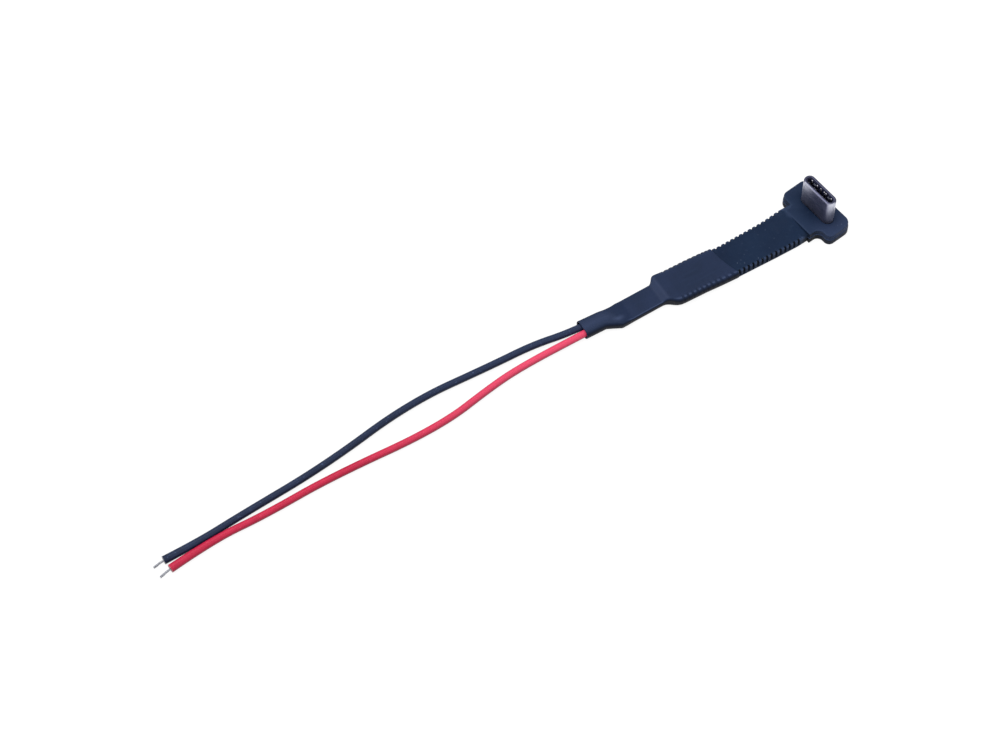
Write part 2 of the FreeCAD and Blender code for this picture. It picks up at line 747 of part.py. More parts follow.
# The shrunk sleeve: straight-sided spans between sections, wide over the strap, flat at the neck and oval
# over the wires.
strap_slack = s["sleeve_wall"] + s["sleeve_clearance"]
wide_width = s["strap_width"] + 2 * strap_slack
wide_high = strap_high + strap_slack
neck_low = film_low - s["stiffener_thickness"] - strap_slack
neck_high = film_high + strap_slack
tube_width = 2 * (s["wire_diameter"] + s["sleeve_wall"]) + s["tube_slack_width"]
tube_high = s["wire_diameter"] + 2 * s["sleeve_wall"] + s["tube_slack_height"]
bulge_low = neck_low / 2
bulge_high = film_high + s["joint_height"] + strap_slack
wide_corner = s["sleeve_inner_corner"]
neck_corner = (neck_high - neck_low - 2 * s["sleeve_wall"]) * s["oval_share"]
tube_corner = (tube_high - 2 * s["sleeve_wall"]) * s["oval_share"]
level = as_size(0)
sections = [
    ("cut_end", sleeve_start, level, wide_width, level, wide_high, wide_corner),
    ("shoulder", shoulder_start, level, wide_width, level, wide_high, wide_corner),
    ("neck", neck_start, s["neck_offset"], s["neck_width"], neck_low, neck_high, neck_corner),
    ("neck_end", neck_end, s["neck_offset"], s["neck_width"], neck_low, neck_high, neck_corner),
    ("bulge", bulge_start, s["neck_offset"], s["neck_width"], bulge_low, bulge_high, neck_corner),
    ("bulge_end", bulge_end, s["neck_offset"], s["neck_width"], bulge_low, bulge_high, neck_corner),
    ("tube", tube_start, s["tube_offset"], tube_width, level, tube_high, tube_corner),
    ("open_end", tail_reach, s["tube_offset"], tube_width, level, tube_high, tube_corner),
]
heat_shrink_sleeve = new_body("heat_shrink_sleeve")
for layer, kind, inset in (
    ("outside", "AdditiveLoft", as_size(0)),
    ("inside", "SubtractiveLoft", s["sleeve_wall"]),
):
    rings = []
    for section_name, reach, middle, width, low, high, corner in sections:
        ring = new_sketch(heat_shrink_sleeve, f"{section_name}_{layer}", "YZ_Plane", -reach)
        radius = corner + s["sleeve_wall"] - inset
        round_rectangle(ring, middle, width - 2 * inset, low + inset, high - inset, radius)
        rings.append(ring)
    loft = heat_shrink_sleeve.newObject(f"PartDesign::{kind}", f"sleeve_{layer}")
    loft.Profile = rings[0]
    loft.Sections = rings[1:]
    loft.Ruled = True


# The wires, laid on the surface. Each path is straight runs joined by tangent arcs as large as the runs
# allow. Its points are chosen by hand and counted from the middle of the sleeve's mouth, on the surface.
ARC_SHARE = 0.45
VOLUME_SHARE = 0.01
BLACK_POINTS = [
    (3.95, 0.50, 1.20),
    (-2.00, 0.85, 0.87),
    (-9.55, 2.35, 0.73),
    (-18.70, 2.65, 0.73),
    (-36.05, 3.80, 0.73),
    (-56.35, 0.50, 0.73),
    (-74.60, -0.35, 0.73),
    (-84.15, -1.13, 0.73),
    (-91.10, -1.15, 0.73),
]
RED_POINTS = [
    (3.95, -0.95, 1.20),
    (-1.90, -0.70, 0.87),
    (-13.00, -0.60, 0.73),
    (-20.30, -1.20, 0.73),
    (-34.00, -3.70, 0.73),
    (-56.30, -2.20, 0.73),
    (-71.10, -2.70, 0.73),
    (-81.05, -2.22, 0.73),
    (-90.85, -3.35, 0.73),
]
BLACK_TIP_END = (-93.30, -1.31, 0.46)
RED_TIP_END = (-93.20, -3.69, 0.42)


def from_mouth(point):
    """A point counted from the middle of the sleeve's mouth, in the part's own frame."""
    x, y, z = point
    return ((plug_x - tail_reach).value + x, s["tube_offset"].value + y, z)


BLACK_ROUTE = [from_mouth(point) for point in BLACK_POINTS]
RED_ROUTE = [from_mouth(point) for point in RED_POINTS]


def straight_on(first, second, distance):
    """The point that lies a distance past the second of two points, in line with both."""
    heading = (Vector(*second) - Vector(*first)).normalize()
    return tuple(Vector(*second) + heading * distance)


def rounded_path(name, route):
    """A wire of straight runs joined by tangent arcs through a list of points."""
    points = [Vector(*point) for point in route]
    edges = []
    radii = []
    start = points[0]
    for before, corner, after in zip(points, points[1:], points[2:]):
        to_before = (before - corner).normalize()
        to_after = (after - corner).normalize()
        reach = ARC_SHARE * min((before - corner).Length, (after - corner).Length)
        turn = math.pi - to_before.getAngle(to_after)
        radii.append(reach / math.tan(turn / 2))
        arc_start = corner + to_before * reach
        arc_end = corner + to_after * reach
        bisector = (to_before + to_after).normalize()
        half_angle = to_before.getAngle(to_after) / 2
        centre = corner + bisector * (reach / math.cos(half_angle))
        middle = centre - bisector * radii[-1]
        edges.append(Part.LineSegment(start, arc_start).toShape())
        edges.append(Part.Arc(arc_start, middle, arc_end).toShape())
        start = arc_end
    edges.append(Part.LineSegment(start, points[-1]).toShape())
    path = Part.Wire(edges)
    print(name, "length", round(path.Length, 2), "radii", [round(radius, 1) for radius in radii])
    return path


def round_bar(name, route, diameter):
    """A round bar along a route, as a solid whose volume is compared with its section times its length."""
    path = rounded_path(name, route)
    heading = Vector(*route[1]) - Vector(*route[0])
    ring = Part.Wire(Part.Circle(Vector(*route[0]), heading, diameter.value / 2).toShape())
    solid = path.makePipeShell([ring], True, False)
    expected = math.pi * diameter.value**2 / 4 * path.Length
    if abs(solid.Volume - expected) > VOLUME_SHARE * expected:
        raise ValueError(f"{name}: volume {solid.Volume} where {expected} was expected")
    bar = doc.addObject("Part::Feature", name)
    bar.Shape = solid
    return bar


black_wire = round_bar("black_wire", BLACK_ROUTE, s["wire_diameter"])
red_wire = round_bar("red_wire", RED_ROUTE, s["wire_diameter"])
tips = []
for tip_name, route, tip_end in (
    ("black_wire_tip", BLACK_ROUTE, from_mouth(BLACK_TIP_END)),
    ("red_wire_tip", RED_ROUTE, from_mouth(RED_TIP_END)),
):
    tip_bend = straight_on(route[-2], route[-1], s["tip_bend"].value)
    tips.append(round_bar(tip_name, [route[-1], tip_bend, tip_end], s["strand_diameter"]))


# The inner ends: bare strands straight on from each wire, pressed flat on the conductor, each under a
# solder joint in the form of a low dome.
joints = []
joint_radius = (s["joint_length"] * s["joint_length"] / 4 + s["joint_height"] * s["joint_height"]) / (
    2 * s["joint_height"]
)
for colour, route, side in (("black", BLACK_ROUTE, 1), ("red", RED_ROUTE, -1)):
    pad_y = tail_middle + side * s["trace_spacing"] / 2
    room = box(
        f"{colour}_film_room",
        (-film_reach, 2 * s["joint_length"] - film_reach),
        (pad_y - s["joint_length"], pad_y + s["joint_length"]),
        (film_high - 2 * joint_radius, film_high),
    )
    strand_x = plug_x - joint_reach + s["joint_length"] / 2 - s["strand_end"]
    slant = math.dist(route[0], route[1]) / (route[0][0] - route[1][0])
    strand_end = straight_on(route[1], route[0], (strand_x.value - route[0][0]) * slant)
    bar = round_bar(f"{colour}_strand_bar", [route[0], strand_end], s["strand_diameter"])
    dome = doc.addObject("Part::Sphere", f"{colour}_dome")
    bind(dome, "Radius", joint_radius)
    place(dome, plug_x - joint_reach, pad_y, film_high + s["joint_height"] - joint_radius)
    joints.append(cut(f"{colour}_solder_joint", cut(f"{colour}_cap", dome, room), bar))
    joints.append(cut(f"{colour}_wire_strands", bar, room))


# What is written out, one file for each piece.
pieces = [head_and_strap, heat_shrink_sleeve, plug_shell, plug_insulator, latch_spring]
pieces += ground_springs + contacts + [plug_board, flex_film] + list(traces.values())
pieces += [tail_stiffener, pull_down_resistor] + joints
pieces += [black_wire, red_wire] + tips

doc.recompute()
if strap_moulding.Shape.Volume >= before_teeth:
    raise ValueError("the tooth gaps took nothing away")
for thing in doc.Objects:
    if "Invalid" in thing.State or "Error" in thing.State:
        raise ValueError(f"{thing.Name} failed: {thing.State}")
for piece in pieces:
    piece.Label = piece.Name
    if piece.Shape.isNull() or not piece.Shape.isValid() or not piece.Shape.Solids:
        raise ValueError(f"{piece.Name} has no valid solid")

os.makedirs("parts", exist_ok=True)
for piece in pieces:
    piece.Shape.exportStep(f"parts/{piece.Label}.step")
    print(piece.Label, len(piece.Shape.Solids), "solids", round(piece.Shape.Volume, 3), "mm3")
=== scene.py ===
import json
import math

import bpy
import numpy as np
from mathutils import Matrix, Vector

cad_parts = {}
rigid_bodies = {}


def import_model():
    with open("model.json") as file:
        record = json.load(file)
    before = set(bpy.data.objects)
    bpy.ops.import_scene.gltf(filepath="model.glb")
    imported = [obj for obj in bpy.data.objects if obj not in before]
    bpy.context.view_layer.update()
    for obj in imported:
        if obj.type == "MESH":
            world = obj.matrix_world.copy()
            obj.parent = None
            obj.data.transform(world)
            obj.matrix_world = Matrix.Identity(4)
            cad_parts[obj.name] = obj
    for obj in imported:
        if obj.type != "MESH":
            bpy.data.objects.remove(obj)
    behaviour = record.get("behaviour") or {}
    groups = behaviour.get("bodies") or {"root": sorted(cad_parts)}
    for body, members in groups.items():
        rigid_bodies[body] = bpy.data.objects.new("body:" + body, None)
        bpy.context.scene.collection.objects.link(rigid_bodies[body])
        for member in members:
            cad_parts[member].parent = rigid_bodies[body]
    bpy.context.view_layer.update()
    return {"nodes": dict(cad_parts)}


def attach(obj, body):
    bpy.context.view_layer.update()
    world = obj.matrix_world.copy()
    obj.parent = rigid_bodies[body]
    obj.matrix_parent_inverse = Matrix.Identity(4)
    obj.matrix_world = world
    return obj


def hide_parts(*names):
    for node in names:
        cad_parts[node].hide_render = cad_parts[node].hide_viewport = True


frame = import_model()
MM = 0.001

# The camera
# It looks down on the lead from its free side, with the plug at the upper right. Place and turn were
# fitted to the plug's rim, the head, the strap and the sleeve.
EYE = Vector((-180.392, -226.561, 453.206)) * MM
LOOK_ROUND = math.radians(59.6623)
LOOK_DOWN = math.radians(59.7085)
TWIST = math.radians(-1.2403)
FOCAL_PIXELS = 2763.38
PICTURE_PIXELS = 1000
SENSOR = 36.0
NEAREST_SEEN, FARTHEST_SEEN = 0.01, 10.0

ahead = Vector(
    (
        math.cos(LOOK_DOWN) * math.cos(LOOK_ROUND),
        math.cos(LOOK_DOWN) * math.sin(LOOK_ROUND),
        -math.sin(LOOK_DOWN),
    )
)
level = Vector((math.sin(LOOK_ROUND), -math.cos(LOOK_ROUND), 0))
upward = level.cross(ahead)
right = level * math.cos(TWIST) + upward * math.sin(TWIST)
upright = upward * math.cos(TWIST) - level * math.sin(TWIST)
lens = bpy.data.cameras.new("camera")
lens.sensor_width = SENSOR
lens.lens = FOCAL_PIXELS / PICTURE_PIXELS * SENSOR
lens.clip_start = NEAREST_SEEN
lens.clip_end = FARTHEST_SEEN
camera = bpy.data.objects.new("camera", lens)
turn = Matrix((right, upright, -ahead)).transposed().to_4x4()
camera.matrix_world = Matrix.Translation(EYE) @ turn
shown = bpy.context.scene.collection.objects
shown.link(camera)
bpy.context.scene.camera = camera
bpy.context.scene.view_settings.view_transform = "Standard"


# The two wires
# Thin hook-up wire: tinned strands in a coat of soft plastic, one black, one red. Both come out of the
# sleeve side by side, lie loose on the table and end in bare strands.
WIRE = 1.4 * MM
WIRE_ROUTES = {
    "black": [
        (-24.56, 2.05, 1.20),
        (-30.51, 2.40, 0.87),
        (-38.06, 3.90, 0.73),
        (-47.21, 4.20, 0.73),
        (-64.56, 5.35, 0.73),
        (-84.86, 2.05, 0.73),
        (-103.11, 1.12, 0.73),
        (-112.66, 0.37, 0.76),
        (-119.61, 0.40, 0.84),
    ],
    "red": [
        (-24.56, 0.60, 1.20),
        (-30.41, 0.85, 0.87),
        (-41.51, 0.95, 0.73),
        (-48.81, 0.35, 0.73),
        (-62.51, -2.15, 0.73),
        (-84.81, -0.65, 0.73),
        (-99.61, -1.12, 0.73),
        (-109.56, -0.58, 0.76),
        (-119.36, -1.76, 0.84),
    ],
}
# How much thicker than its nominal size the coat is at each point of a route, most at its pushed-back end.
COAT_SWELL = [1.04, 1.04, 1.04, 1.04, 1.04, 1.04, 1.04, 1.07, 1.18]
# Each coat: its colour, a worn and a pale shade of it, a dark painted shade for its lower part, a lighter
# colour near the sleeve, and its gloss. Then the reaches between which it grows lighter towards the sleeve,
# and the heights between which it passes from the painted shade below to its own colour.
WIRE_COATS = {
    "black": ("14213c", "1c2a48", "46567c", "080d1a", "1c2a48", 0.2),
    "red": ("c21a42", "b2163c", "d2405f", "6c0c26", "de4264", 0.28),
}
LIGHTER_REACHES = (-80 * MM, -42 * MM)
SHADE_HEIGHTS = (0.3 * MM, 1.35 * MM)
CURVE_STEPS, TUBE_ROUNDNESS = 16, 7


def linear(hexes):
    """A colour written as six hex digits, as the linear values that a shader takes: a straight line for
    the darkest shares and a power of 2.4 above them."""
    shares = np.array([int(hexes[i:i + 2], 16) for i in (0, 2, 4)]) / 255
    low = shares / 12.92
    high = ((shares + 0.055) / 1.055) ** 2.4
    return [float(v) for v in np.where(shares <= 0.04045, low, high)] + [1.0]


class Finish:
    """A material, with short calls for the nodes that it is made of."""

    def __init__(self, name, roughness, metallic=0.0, specular=0.5):
        self.material = bpy.data.materials.new(name)
        self.material.use_nodes = True
        self.tree = self.material.node_tree
        self.shader = self.tree.nodes["Principled BSDF"]
        self.shader.inputs["Roughness"].default_value = roughness
        self.shader.inputs["Metallic"].default_value = metallic
        self.shader.inputs["Specular IOR Level"].default_value = specular
        self.place = self.tree.nodes.new("ShaderNodeTexCoord").outputs["Object"]

    def stretched(self, scale):
        """The place on the object, stretched by a scale for each axis."""
        node = self.tree.nodes.new("ShaderNodeMapping")
        node.inputs["Scale"].default_value = scale
        self.tree.links.new(self.place, node.inputs["Vector"])
        return node.outputs["Vector"]

    def noise(self, size, detail=4.0, place=None):
        """Cloudy noise whose lumps have about this size in metres."""
        node = self.tree.nodes.new("ShaderNodeTexNoise")
        node.inputs["Scale"].default_value = 1 / size
        node.inputs["Detail"].default_value = detail
        self.tree.links.new(place or self.place, node.inputs["Vector"])
        return node.outputs["Fac"]

    def specks(self, spacing, reach):
        """Small dots, one in each cell of this spacing, that fade out at a share of the cell."""
        node = self.tree.nodes.new("ShaderNodeTexVoronoi")
        node.inputs["Scale"].default_value = 1 / spacing
        self.tree.links.new(self.place, node.inputs["Vector"])
        return self.ranged(node.outputs["Distance"], (reach * 0.5, reach), (1.0, 0.0))

    def mark(self, name):
        """A number kept at each point of the piece's own mesh."""
        node = self.tree.nodes.new("ShaderNodeAttribute")
        node.attribute_name = name
        return node.outputs["Fac"]

    def along(self, axis):
        """The place on the object along one axis, in metres."""
        node = self.tree.nodes.new("ShaderNodeSeparateXYZ")
        self.tree.links.new(self.place, node.inputs[0])
        return node.outputs[axis]

    def ranged(self, value, source, target):
        """A value taken from one range to another, held at the ends."""
        node = self.tree.nodes.new("ShaderNodeMapRange")
        self.tree.links.new(value, node.inputs["Value"])
        for socket, number in zip(("From Min", "From Max", "To Min", "To Max"), (*source, *target)):
            node.inputs[socket].default_value = number
        return node.outputs["Result"]

    def product(self, one, other):
        """One value times another."""
        node = self.tree.nodes.new("ShaderNodeMath")
        node.operation = "MULTIPLY"
        self.tree.links.new(one, node.inputs[0])
        self.tree.links.new(other, node.inputs[1])
        return node.outputs["Value"]

    def between(self, factor, one, other):
        """A mix of two colours, each a hex string or another colour's output. They are the mix node's
        inputs 6 and 7 and its output 2."""
        node = self.tree.nodes.new("ShaderNodeMix")
        node.data_type = "RGBA"
        self.tree.links.new(factor, node.inputs[0])
        for socket, colour in ((node.inputs[6], one), (node.inputs[7], other)):
            if isinstance(colour, str):
                socket.default_value = linear(colour)
            else:
                self.tree.links.new(colour, socket)
        return node.outputs[2]

    def colour(self, output):
        """Leads an output into the surface's colour."""
        self.tree.links.new(output, self.shader.inputs["Base Color"])

    def roughness(self, output):
        """Leads an output into the surface's roughness."""
        self.tree.links.new(output, self.shader.inputs["Roughness"])

    def bumps(self, heights):
        """Relief from pairs of a height output and its depth in metres, one on top of the other."""
        normal = None
        for height, depth in heights:
            node = self.tree.nodes.new("ShaderNodeBump")
            node.inputs["Distance"].default_value = depth
            self.tree.links.new(height, node.inputs["Height"])
            if normal:
                self.tree.links.new(normal, node.inputs["Normal"])
            normal = node.outputs["Normal"]
        self.tree.links.new(normal, self.shader.inputs["Normal"])


def soft_coat(name, colour, worn, pale, shade_below, by_sleeve, gloss):
    """Soft plastic drawn round a wire: cloudy colour that grows lighter towards the sleeve, painted shade
    below, pale worn spots, and shallow waves along the wire."""
    coat = Finish(name, 0.32, specular=gloss)
    clouds = coat.ranged(coat.noise(3 * MM), (0.35, 0.7), (0.0, 1.0))
    painted_light_and_wear = coat.ranged(coat.noise(0.5 * MM), (0.62, 0.72), (0.0, 0.6))
    near_sleeve = coat.ranged(coat.along("X"), LIGHTER_REACHES, (0.0, 1.0))
    coat_colour = coat.between(near_sleeve, coat.between(clouds, colour, worn), by_sleeve)
    # Painted shade: the coat darkens towards its lower part.
    height = coat.ranged(coat.along("Z"), SHADE_HEIGHTS, (0.0, 1.0))
    coat.colour(coat.between(height, shade_below, coat.between(painted_light_and_wear, coat_colour, pale)))
    coat.roughness(coat.ranged(coat.noise(0.8 * MM), (0.3, 0.7), (0.24, 0.42)))
    drawn = coat.noise(1.2 * MM, 2.0, coat.stretched((0.35, 1.0, 1.0)))
    coat.bumps([(drawn, 0.03 * MM), (coat.noise(0.09 * MM, 2.0), 0.003 * MM)])
    return coat.material


def ride_and_name(piece, slot, *nodes):
    """Lets a new piece ride on the lead and hides the solids that it stands for. The finish's name that it
    is given is not used.
    """
    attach(piece, "root")
    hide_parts(*nodes)


def spline_curve(name, points, swell=1.0):
    """A curve of one open spline drawn near control points in millimetres, thicker by a swell."""
    curve = bpy.data.curves.new(name, "CURVE")
    curve.dimensions = "3D"
    spline = curve.splines.new("NURBS")
    spline.points.add(len(points) - 1)
    spline.points.foreach_set("co", np.c_[np.array(points) * MM, np.ones(len(points))].ravel())
    spline.points.foreach_set("radius", np.ones(len(points)) * swell)
    spline.order_u = 3
    spline.use_endpoint_u = True
    curve.resolution_u = CURVE_STEPS
    piece = bpy.data.objects.new(name, curve)
    shown.link(piece)
    return piece


coats = {hue: soft_coat(f"{hue}_insulation", *coat) for hue, coat in WIRE_COATS.items()}
for hue, route in WIRE_ROUTES.items():
    wire = spline_curve(f"{hue}_insulated_wire", route, COAT_SWELL)
    wire.data.bevel_depth = WIRE / 2
    wire.data.bevel_resolution = TUBE_ROUNDNESS
    wire.data.use_fill_caps = True
    wire.data.materials.append(coats[hue])
    ride_and_name(wire, f"{hue}_insulation", f"{hue}_wire")


# The wires' bare ends
# Seven fine tinned strands, laid round each other with a slight twist. They leave the cut insulation
# straight, bend down to the table and spread a little where they were cut.
STRAND = 0.15 * MM
STRAND_SIDES = 10
LAY_LENGTH = 4.5 * MM
TIP_POINTS = {
    "black": [(-119.41, 0.38, 0.78), (-120.51, 0.36, 0.72), (-121.86, 0.26, 0.36)],
    "red": [(-119.16, -1.76, 0.78), (-120.26, -1.88, 0.72), (-121.76, -2.10, 0.34)],
}
# The six outer strands: by what share each is further from the middle at its end, and where it was cut, as
# a share of the whole length. Then the middle strand's cut, and how thin a strand is at its cut.
STRAND_SPREADS = [0.15, 0.5, 0.05, 0.35, 0.2, 0.6]
STRAND_CUTS = [1.0, 0.96, 0.985, 0.93, 1.0, 0.975]
MIDDLE_CUT = 0.98
CUT_THINNED = 0.8


def mesh_places(mesh):
    """A mesh's points as an array of point by axis."""
    places = np.empty(len(mesh.vertices) * 3)
    mesh.vertices.foreach_get("co", places)
    return places.reshape(-1, 3)


def path_points(name, points):
    """Points along a spline's own line, as the spline gives them when it has no thickness."""
    line = spline_curve(name, points)
    bpy.context.view_layer.update()
    places = mesh_places(bpy.data.meshes.new_from_object(line))
    bpy.data.objects.remove(line)
    return places


def ring_skin(rings, closed_loop=False):
    """Rings of points, an array of ring by point by axis, joined ring to ring by four-sided faces.

    Without a loop, the first and the last ring each close on a point in their middle by a fan of
    triangles. With a loop, the last ring joins the first. The faces are turned outwards by the sign of
    the volume that they enclose.
    """
    count, around = rings.shape[:2]
    places = rings.reshape(-1, 3)
    rows = np.arange(count if closed_loop else count - 1)[:, None]
    columns = np.arange(around)[None, :]
    following, beside = (rows + 1) % count, (columns + 1) % around
    quads = np.stack(
        [
            rows * around + columns,
            rows * around + beside,
            following * around + beside,
            following * around + columns,
        ],
        axis=-1,
    ).reshape(-1, 4)
    fans = np.empty((0, 3), int)
    if not closed_loop:
        middles = np.array([rings[0].mean(axis=0), rings[-1].mean(axis=0)])
        first, last = np.arange(around), (count - 1) * around + np.arange(around)
        first_fan = np.c_[np.roll(first, -1), first, np.full(around, len(places))]
        last_fan = np.c_[last, np.roll(last, -1), np.full(around, len(places) + 1)]
        fans = np.vstack([first_fan, last_fan])
        places = np.vstack([places, middles])
    triangles = np.vstack([quads[:, :3], quads[:, [0, 2, 3]], fans])
    a, b, c = (places[triangles[:, corner]] for corner in range(3))
    if np.einsum("ij,ij->i", a, np.cross(b, c)).sum() < 0:
        quads, fans = quads[:, ::-1], fans[:, ::-1]
    return places, quads, fans


def mark_points(mesh, marks):
    """Keeps named numbers at a mesh's points."""
    for mark, numbers in marks.items():
        kept = mesh.attributes.new(mark, "FLOAT", "POINT")
        kept.data.foreach_set("value", numbers.ravel())


def mesh_piece(name, skins, material, sharp=None):
    """One object from one or more skins, smooth but for edges sharper than an angle in degrees."""
    starts = np.cumsum([0] + [len(places) for places, quads, fans in skins])
    faces = []
    for start, (places, quads, fans) in zip(starts, skins):
        faces += (quads + start).tolist() + (fans + start).tolist()
    mesh = bpy.data.meshes.new(name)
    mesh.from_pydata(np.vstack([places for places, quads, fans in skins]), [], faces)
    mesh.update()
    mesh.shade_smooth()
    if sharp:
        mesh.set_sharp_from_angle(angle=math.radians(sharp))
    mesh.materials.append(material)
    piece = bpy.data.objects.new(name, mesh)
    shown.link(piece)
    return piece


def strand(path, radius, turn, spread, cut):
    """A thin rod round a path: its middle goes round the path at a radius that grows with the spread,
    one turn in each lay length, and its section is a ring at right angles to the path."""
    steps = np.diff(path, axis=0)
    reach = np.r_[0, np.cumsum(np.linalg.norm(steps, axis=1))]
    kept = reach <= reach[-1] * cut
    path, reach = path[kept], reach[kept]
    ahead = np.gradient(path, axis=0)
    ahead /= np.linalg.norm(ahead, axis=1)[:, None]
    side = np.cross(ahead, (0, 0, 1))
    side /= np.linalg.norm(side, axis=1)[:, None]
    over = np.cross(side, ahead)
    angle = turn + 2 * math.pi * reach / LAY_LENGTH
    away = radius * (1 + spread * (reach / reach[-1]) ** 2)
    middle = path + (np.cos(angle) * away)[:, None] * side + (np.sin(angle) * away)[:, None] * over
    around = np.linspace(0, 2 * math.pi, STRAND_SIDES, endpoint=False)
    thick = STRAND / 2 * np.r_[np.ones(len(path) - 1), CUT_THINNED]
    ring = np.cos(around)[None, :, None] * side[:, None] + np.sin(around)[None, :, None] * over[:, None]
    return ring_skin(middle[:, None] + ring * thick[:, None, None])


tin = Finish("tinned_strands", 0.3, metallic=1.0)
tin.colour(tin.between(tin.ranged(tin.noise(0.2 * MM), (0.35, 0.65), (0.0, 1.0)), "b4b6bd", "8e8f96"))
tin.roughness(tin.ranged(tin.noise(0.1 * MM), (0.3, 0.7), (0.2, 0.45)))
tin.bumps([(tin.noise(0.06 * MM, 2.0), 0.006 * MM)])
for hue, points in TIP_POINTS.items():
    path = path_points(f"{hue}_tip_line", points)
    skins = [strand(path, 0.0, 0.0, 0.0, MIDDLE_CUT)]
    for number, (spread, cut) in enumerate(zip(STRAND_SPREADS, STRAND_CUTS)):
        skins.append(strand(path, STRAND, number * math.pi / 3, spread, cut))
    tip = mesh_piece(f"{hue}_bare_strands", skins, tin.material, sharp=50)
    ride_and_name(tip, "tinned_strands", f"{hue}_wire_tip")


# The head and strap
# One soft moulding, navy, matt from the mould: a T-shaped head that carries the plug, a short raised stem,
# and a flat strap with a row of small teeth along each edge.
PLUG_X = 24.792
HEAD_TURN = math.radians(7.0)
# Each ear: side, front, back, and the radii of its far corner, its near corner and the notch behind it.
FAR_EAR = (7.0, 3.1, -3.45, 1.5, 1.55, 0.5)
NEAR_EAR = (6.75, 3.3, -2.8, 1.9, 1.25, 1.25)
HEAD_BACK = -2.8
STEM_SIDE, STEM_END = 3.75, -5.2
HEAD_TOP, TOP_ROUND = 2.75, 0.3
LEDGE_TOP, LEDGE = 1.45, 0.1
# Courses of pairs. The foot's narrow round edge: inset and height. The ledge where the mould's halves met:
# inset and height from its top. The socket's mouth: how much wider it is, and height from the head's top.
FOOT_COURSE = [(0.5, 0.0), (0.08, 0.0), (0.025, 0.007), (0.007, 0.025), (0.0, 0.08)]
LEDGE_COURSE = [(0.0, -0.16), (0.0, -0.04), (0.012, -0.012), (0.04, 0.0)]
LEDGE_COURSE += [(LEDGE - 0.01, 0.0), (LEDGE, 0.02), (LEDGE, 0.14)]
SOCKET_COURSE = [(0.09, 0.0), (0.03, 0.0), (0.0, -0.03)]
EDGE_MARGIN = 0.05
SOCKET_SIDE, SOCKET_DEPTH, SOCKET_FLOOR = 4.185, 1.26, 1.45
# Points of each arc of the outline, and the steps that its straight runs are divided into, by place in it.
ARC_POINTS = 13
RUN_STEPS = {0: 8, ARC_POINTS: 6, 2 * ARC_POINTS: 2, 3 * ARC_POINTS: 4, 3 * ARC_POINTS + 1: 8}
STRAP_LOW, STRAP_TOP, STRAP_END = 0.04, 2.1, -35.0
# Each row: reach from the plug, the strap's middle and its width there. The soft strap bends a little.
STRAP_ROWS = np.array(
    [
        (-35.0, 0.62, 6.50),
        (-33.0, 0.34, 6.90),
        (-28.0, 0.17, 6.95),
        (-21.0, -0.22, 7.05),
        (-12.0, -0.22, 7.45),
        (-7.0, -0.10, 7.75),
        (-2.0, 0.00, 7.20),
    ]
)
# The strap's corner radius under the sleeve and outside it, and the reaches between which it changes.
CORNER_RADII, CORNER_REACHES = (0.5, 0.16), (-23.5, -22.3)
END_EDGE = 0.03
# The teeth: first gap, pitch, depth, the far side's share of the depth, half a gap's width with its slope,
# the slope alone, the heights between which a gap reaches its depth, and the mesh's rings in each pitch.
TOOTH_FIRST, TOOTH_PITCH, TOOTH_DEPTH, FAR_DEPTH_SHARE = -6.9, 1.05, 0.35, 0.75
HALF_GAP, GAP_SLOPE = 0.27, 0.12
GAP_HEIGHTS = (0.55, 0.75)
TOOTH_RINGS = 14
# The strap's top climbs to the head's: how far, between which reaches, and between which places across.
CLIMB, CLIMB_REACHES, CLIMB_ACROSS = 0.55, (-10.5, -5.3), (-2.5, 1.5)
STRAP_UPPER = (1.6, 1.9)
# Painted highlight on the ledge and on the upper edge: how much, and the height and width of its line. On
# the
# teeth: how much, how far in from the edge and how far down. Painted shade in a gap: how far in. In the near
# notch: how much, where, and between which distances from it. Below the ledge: how much.
LEDGE_HIGHLIGHT, LEDGE_LINE = 0.9, (LEDGE_TOP, 0.05)
EDGE_HIGHLIGHT, EDGE_LINE = 0.45, (HEAD_TOP - 0.08, 0.09)
TOOTH_HIGHLIGHT, HIGHLIT_IN, HIGHLIT_DOWN = 0.8, 0.16, 0.2
SHADED_IN = 0.42
NOTCH_SHADE, NEAR_NOTCH, NOTCH_REACHES = 0.6, (-4.2, -4.4), (1.92, 0.72)
LEDGE_SHADE = 0.7
SOCKET_MARGIN, WALL_MARGIN = 0.2, 0.8


def ramp(value, start, end):
    """Nought up to a start, one from an end on, straight between them. The end may be the lower."""
    return np.clip((value - start) / (end - start), 0, 1)


def eased(share):
    """A share eased at both ends: three times its square less twice its cube."""
    return share * share * (3 - 2 * share)


def hill(value, middle, width):
    """A round hill: e to minus the square of the distance from its middle, counted in widths."""
    return np.exp(-(((value - middle) / width) ** 2))


def on_head(points):
    """Points of the head, turned about the plug's axis and then put where the plug stands."""
    x, y, z = np.moveaxis(points, -1, 0)
    c, s = math.cos(HEAD_TURN), math.sin(HEAD_TURN)
    return np.stack([x * c - y * s + PLUG_X, x * s + y * c, z], axis=-1) * MM


def divided(corners, steps):
    """A line with each run between two corners divided into its own number of even steps: a point in a
    run is the run's start plus its share of the way to the run's end."""
    counts = np.repeat(steps, steps)
    earlier = np.repeat(np.cumsum(steps) - steps, steps)
    shares = (np.arange(len(counts)) - earlier + 1) / counts
    starts, ends = (np.repeat(part, steps, axis=0) for part in (corners[:-1], corners[1:]))
    return np.vstack([corners[:1], starts + (ends - starts) * shares[:, None]])


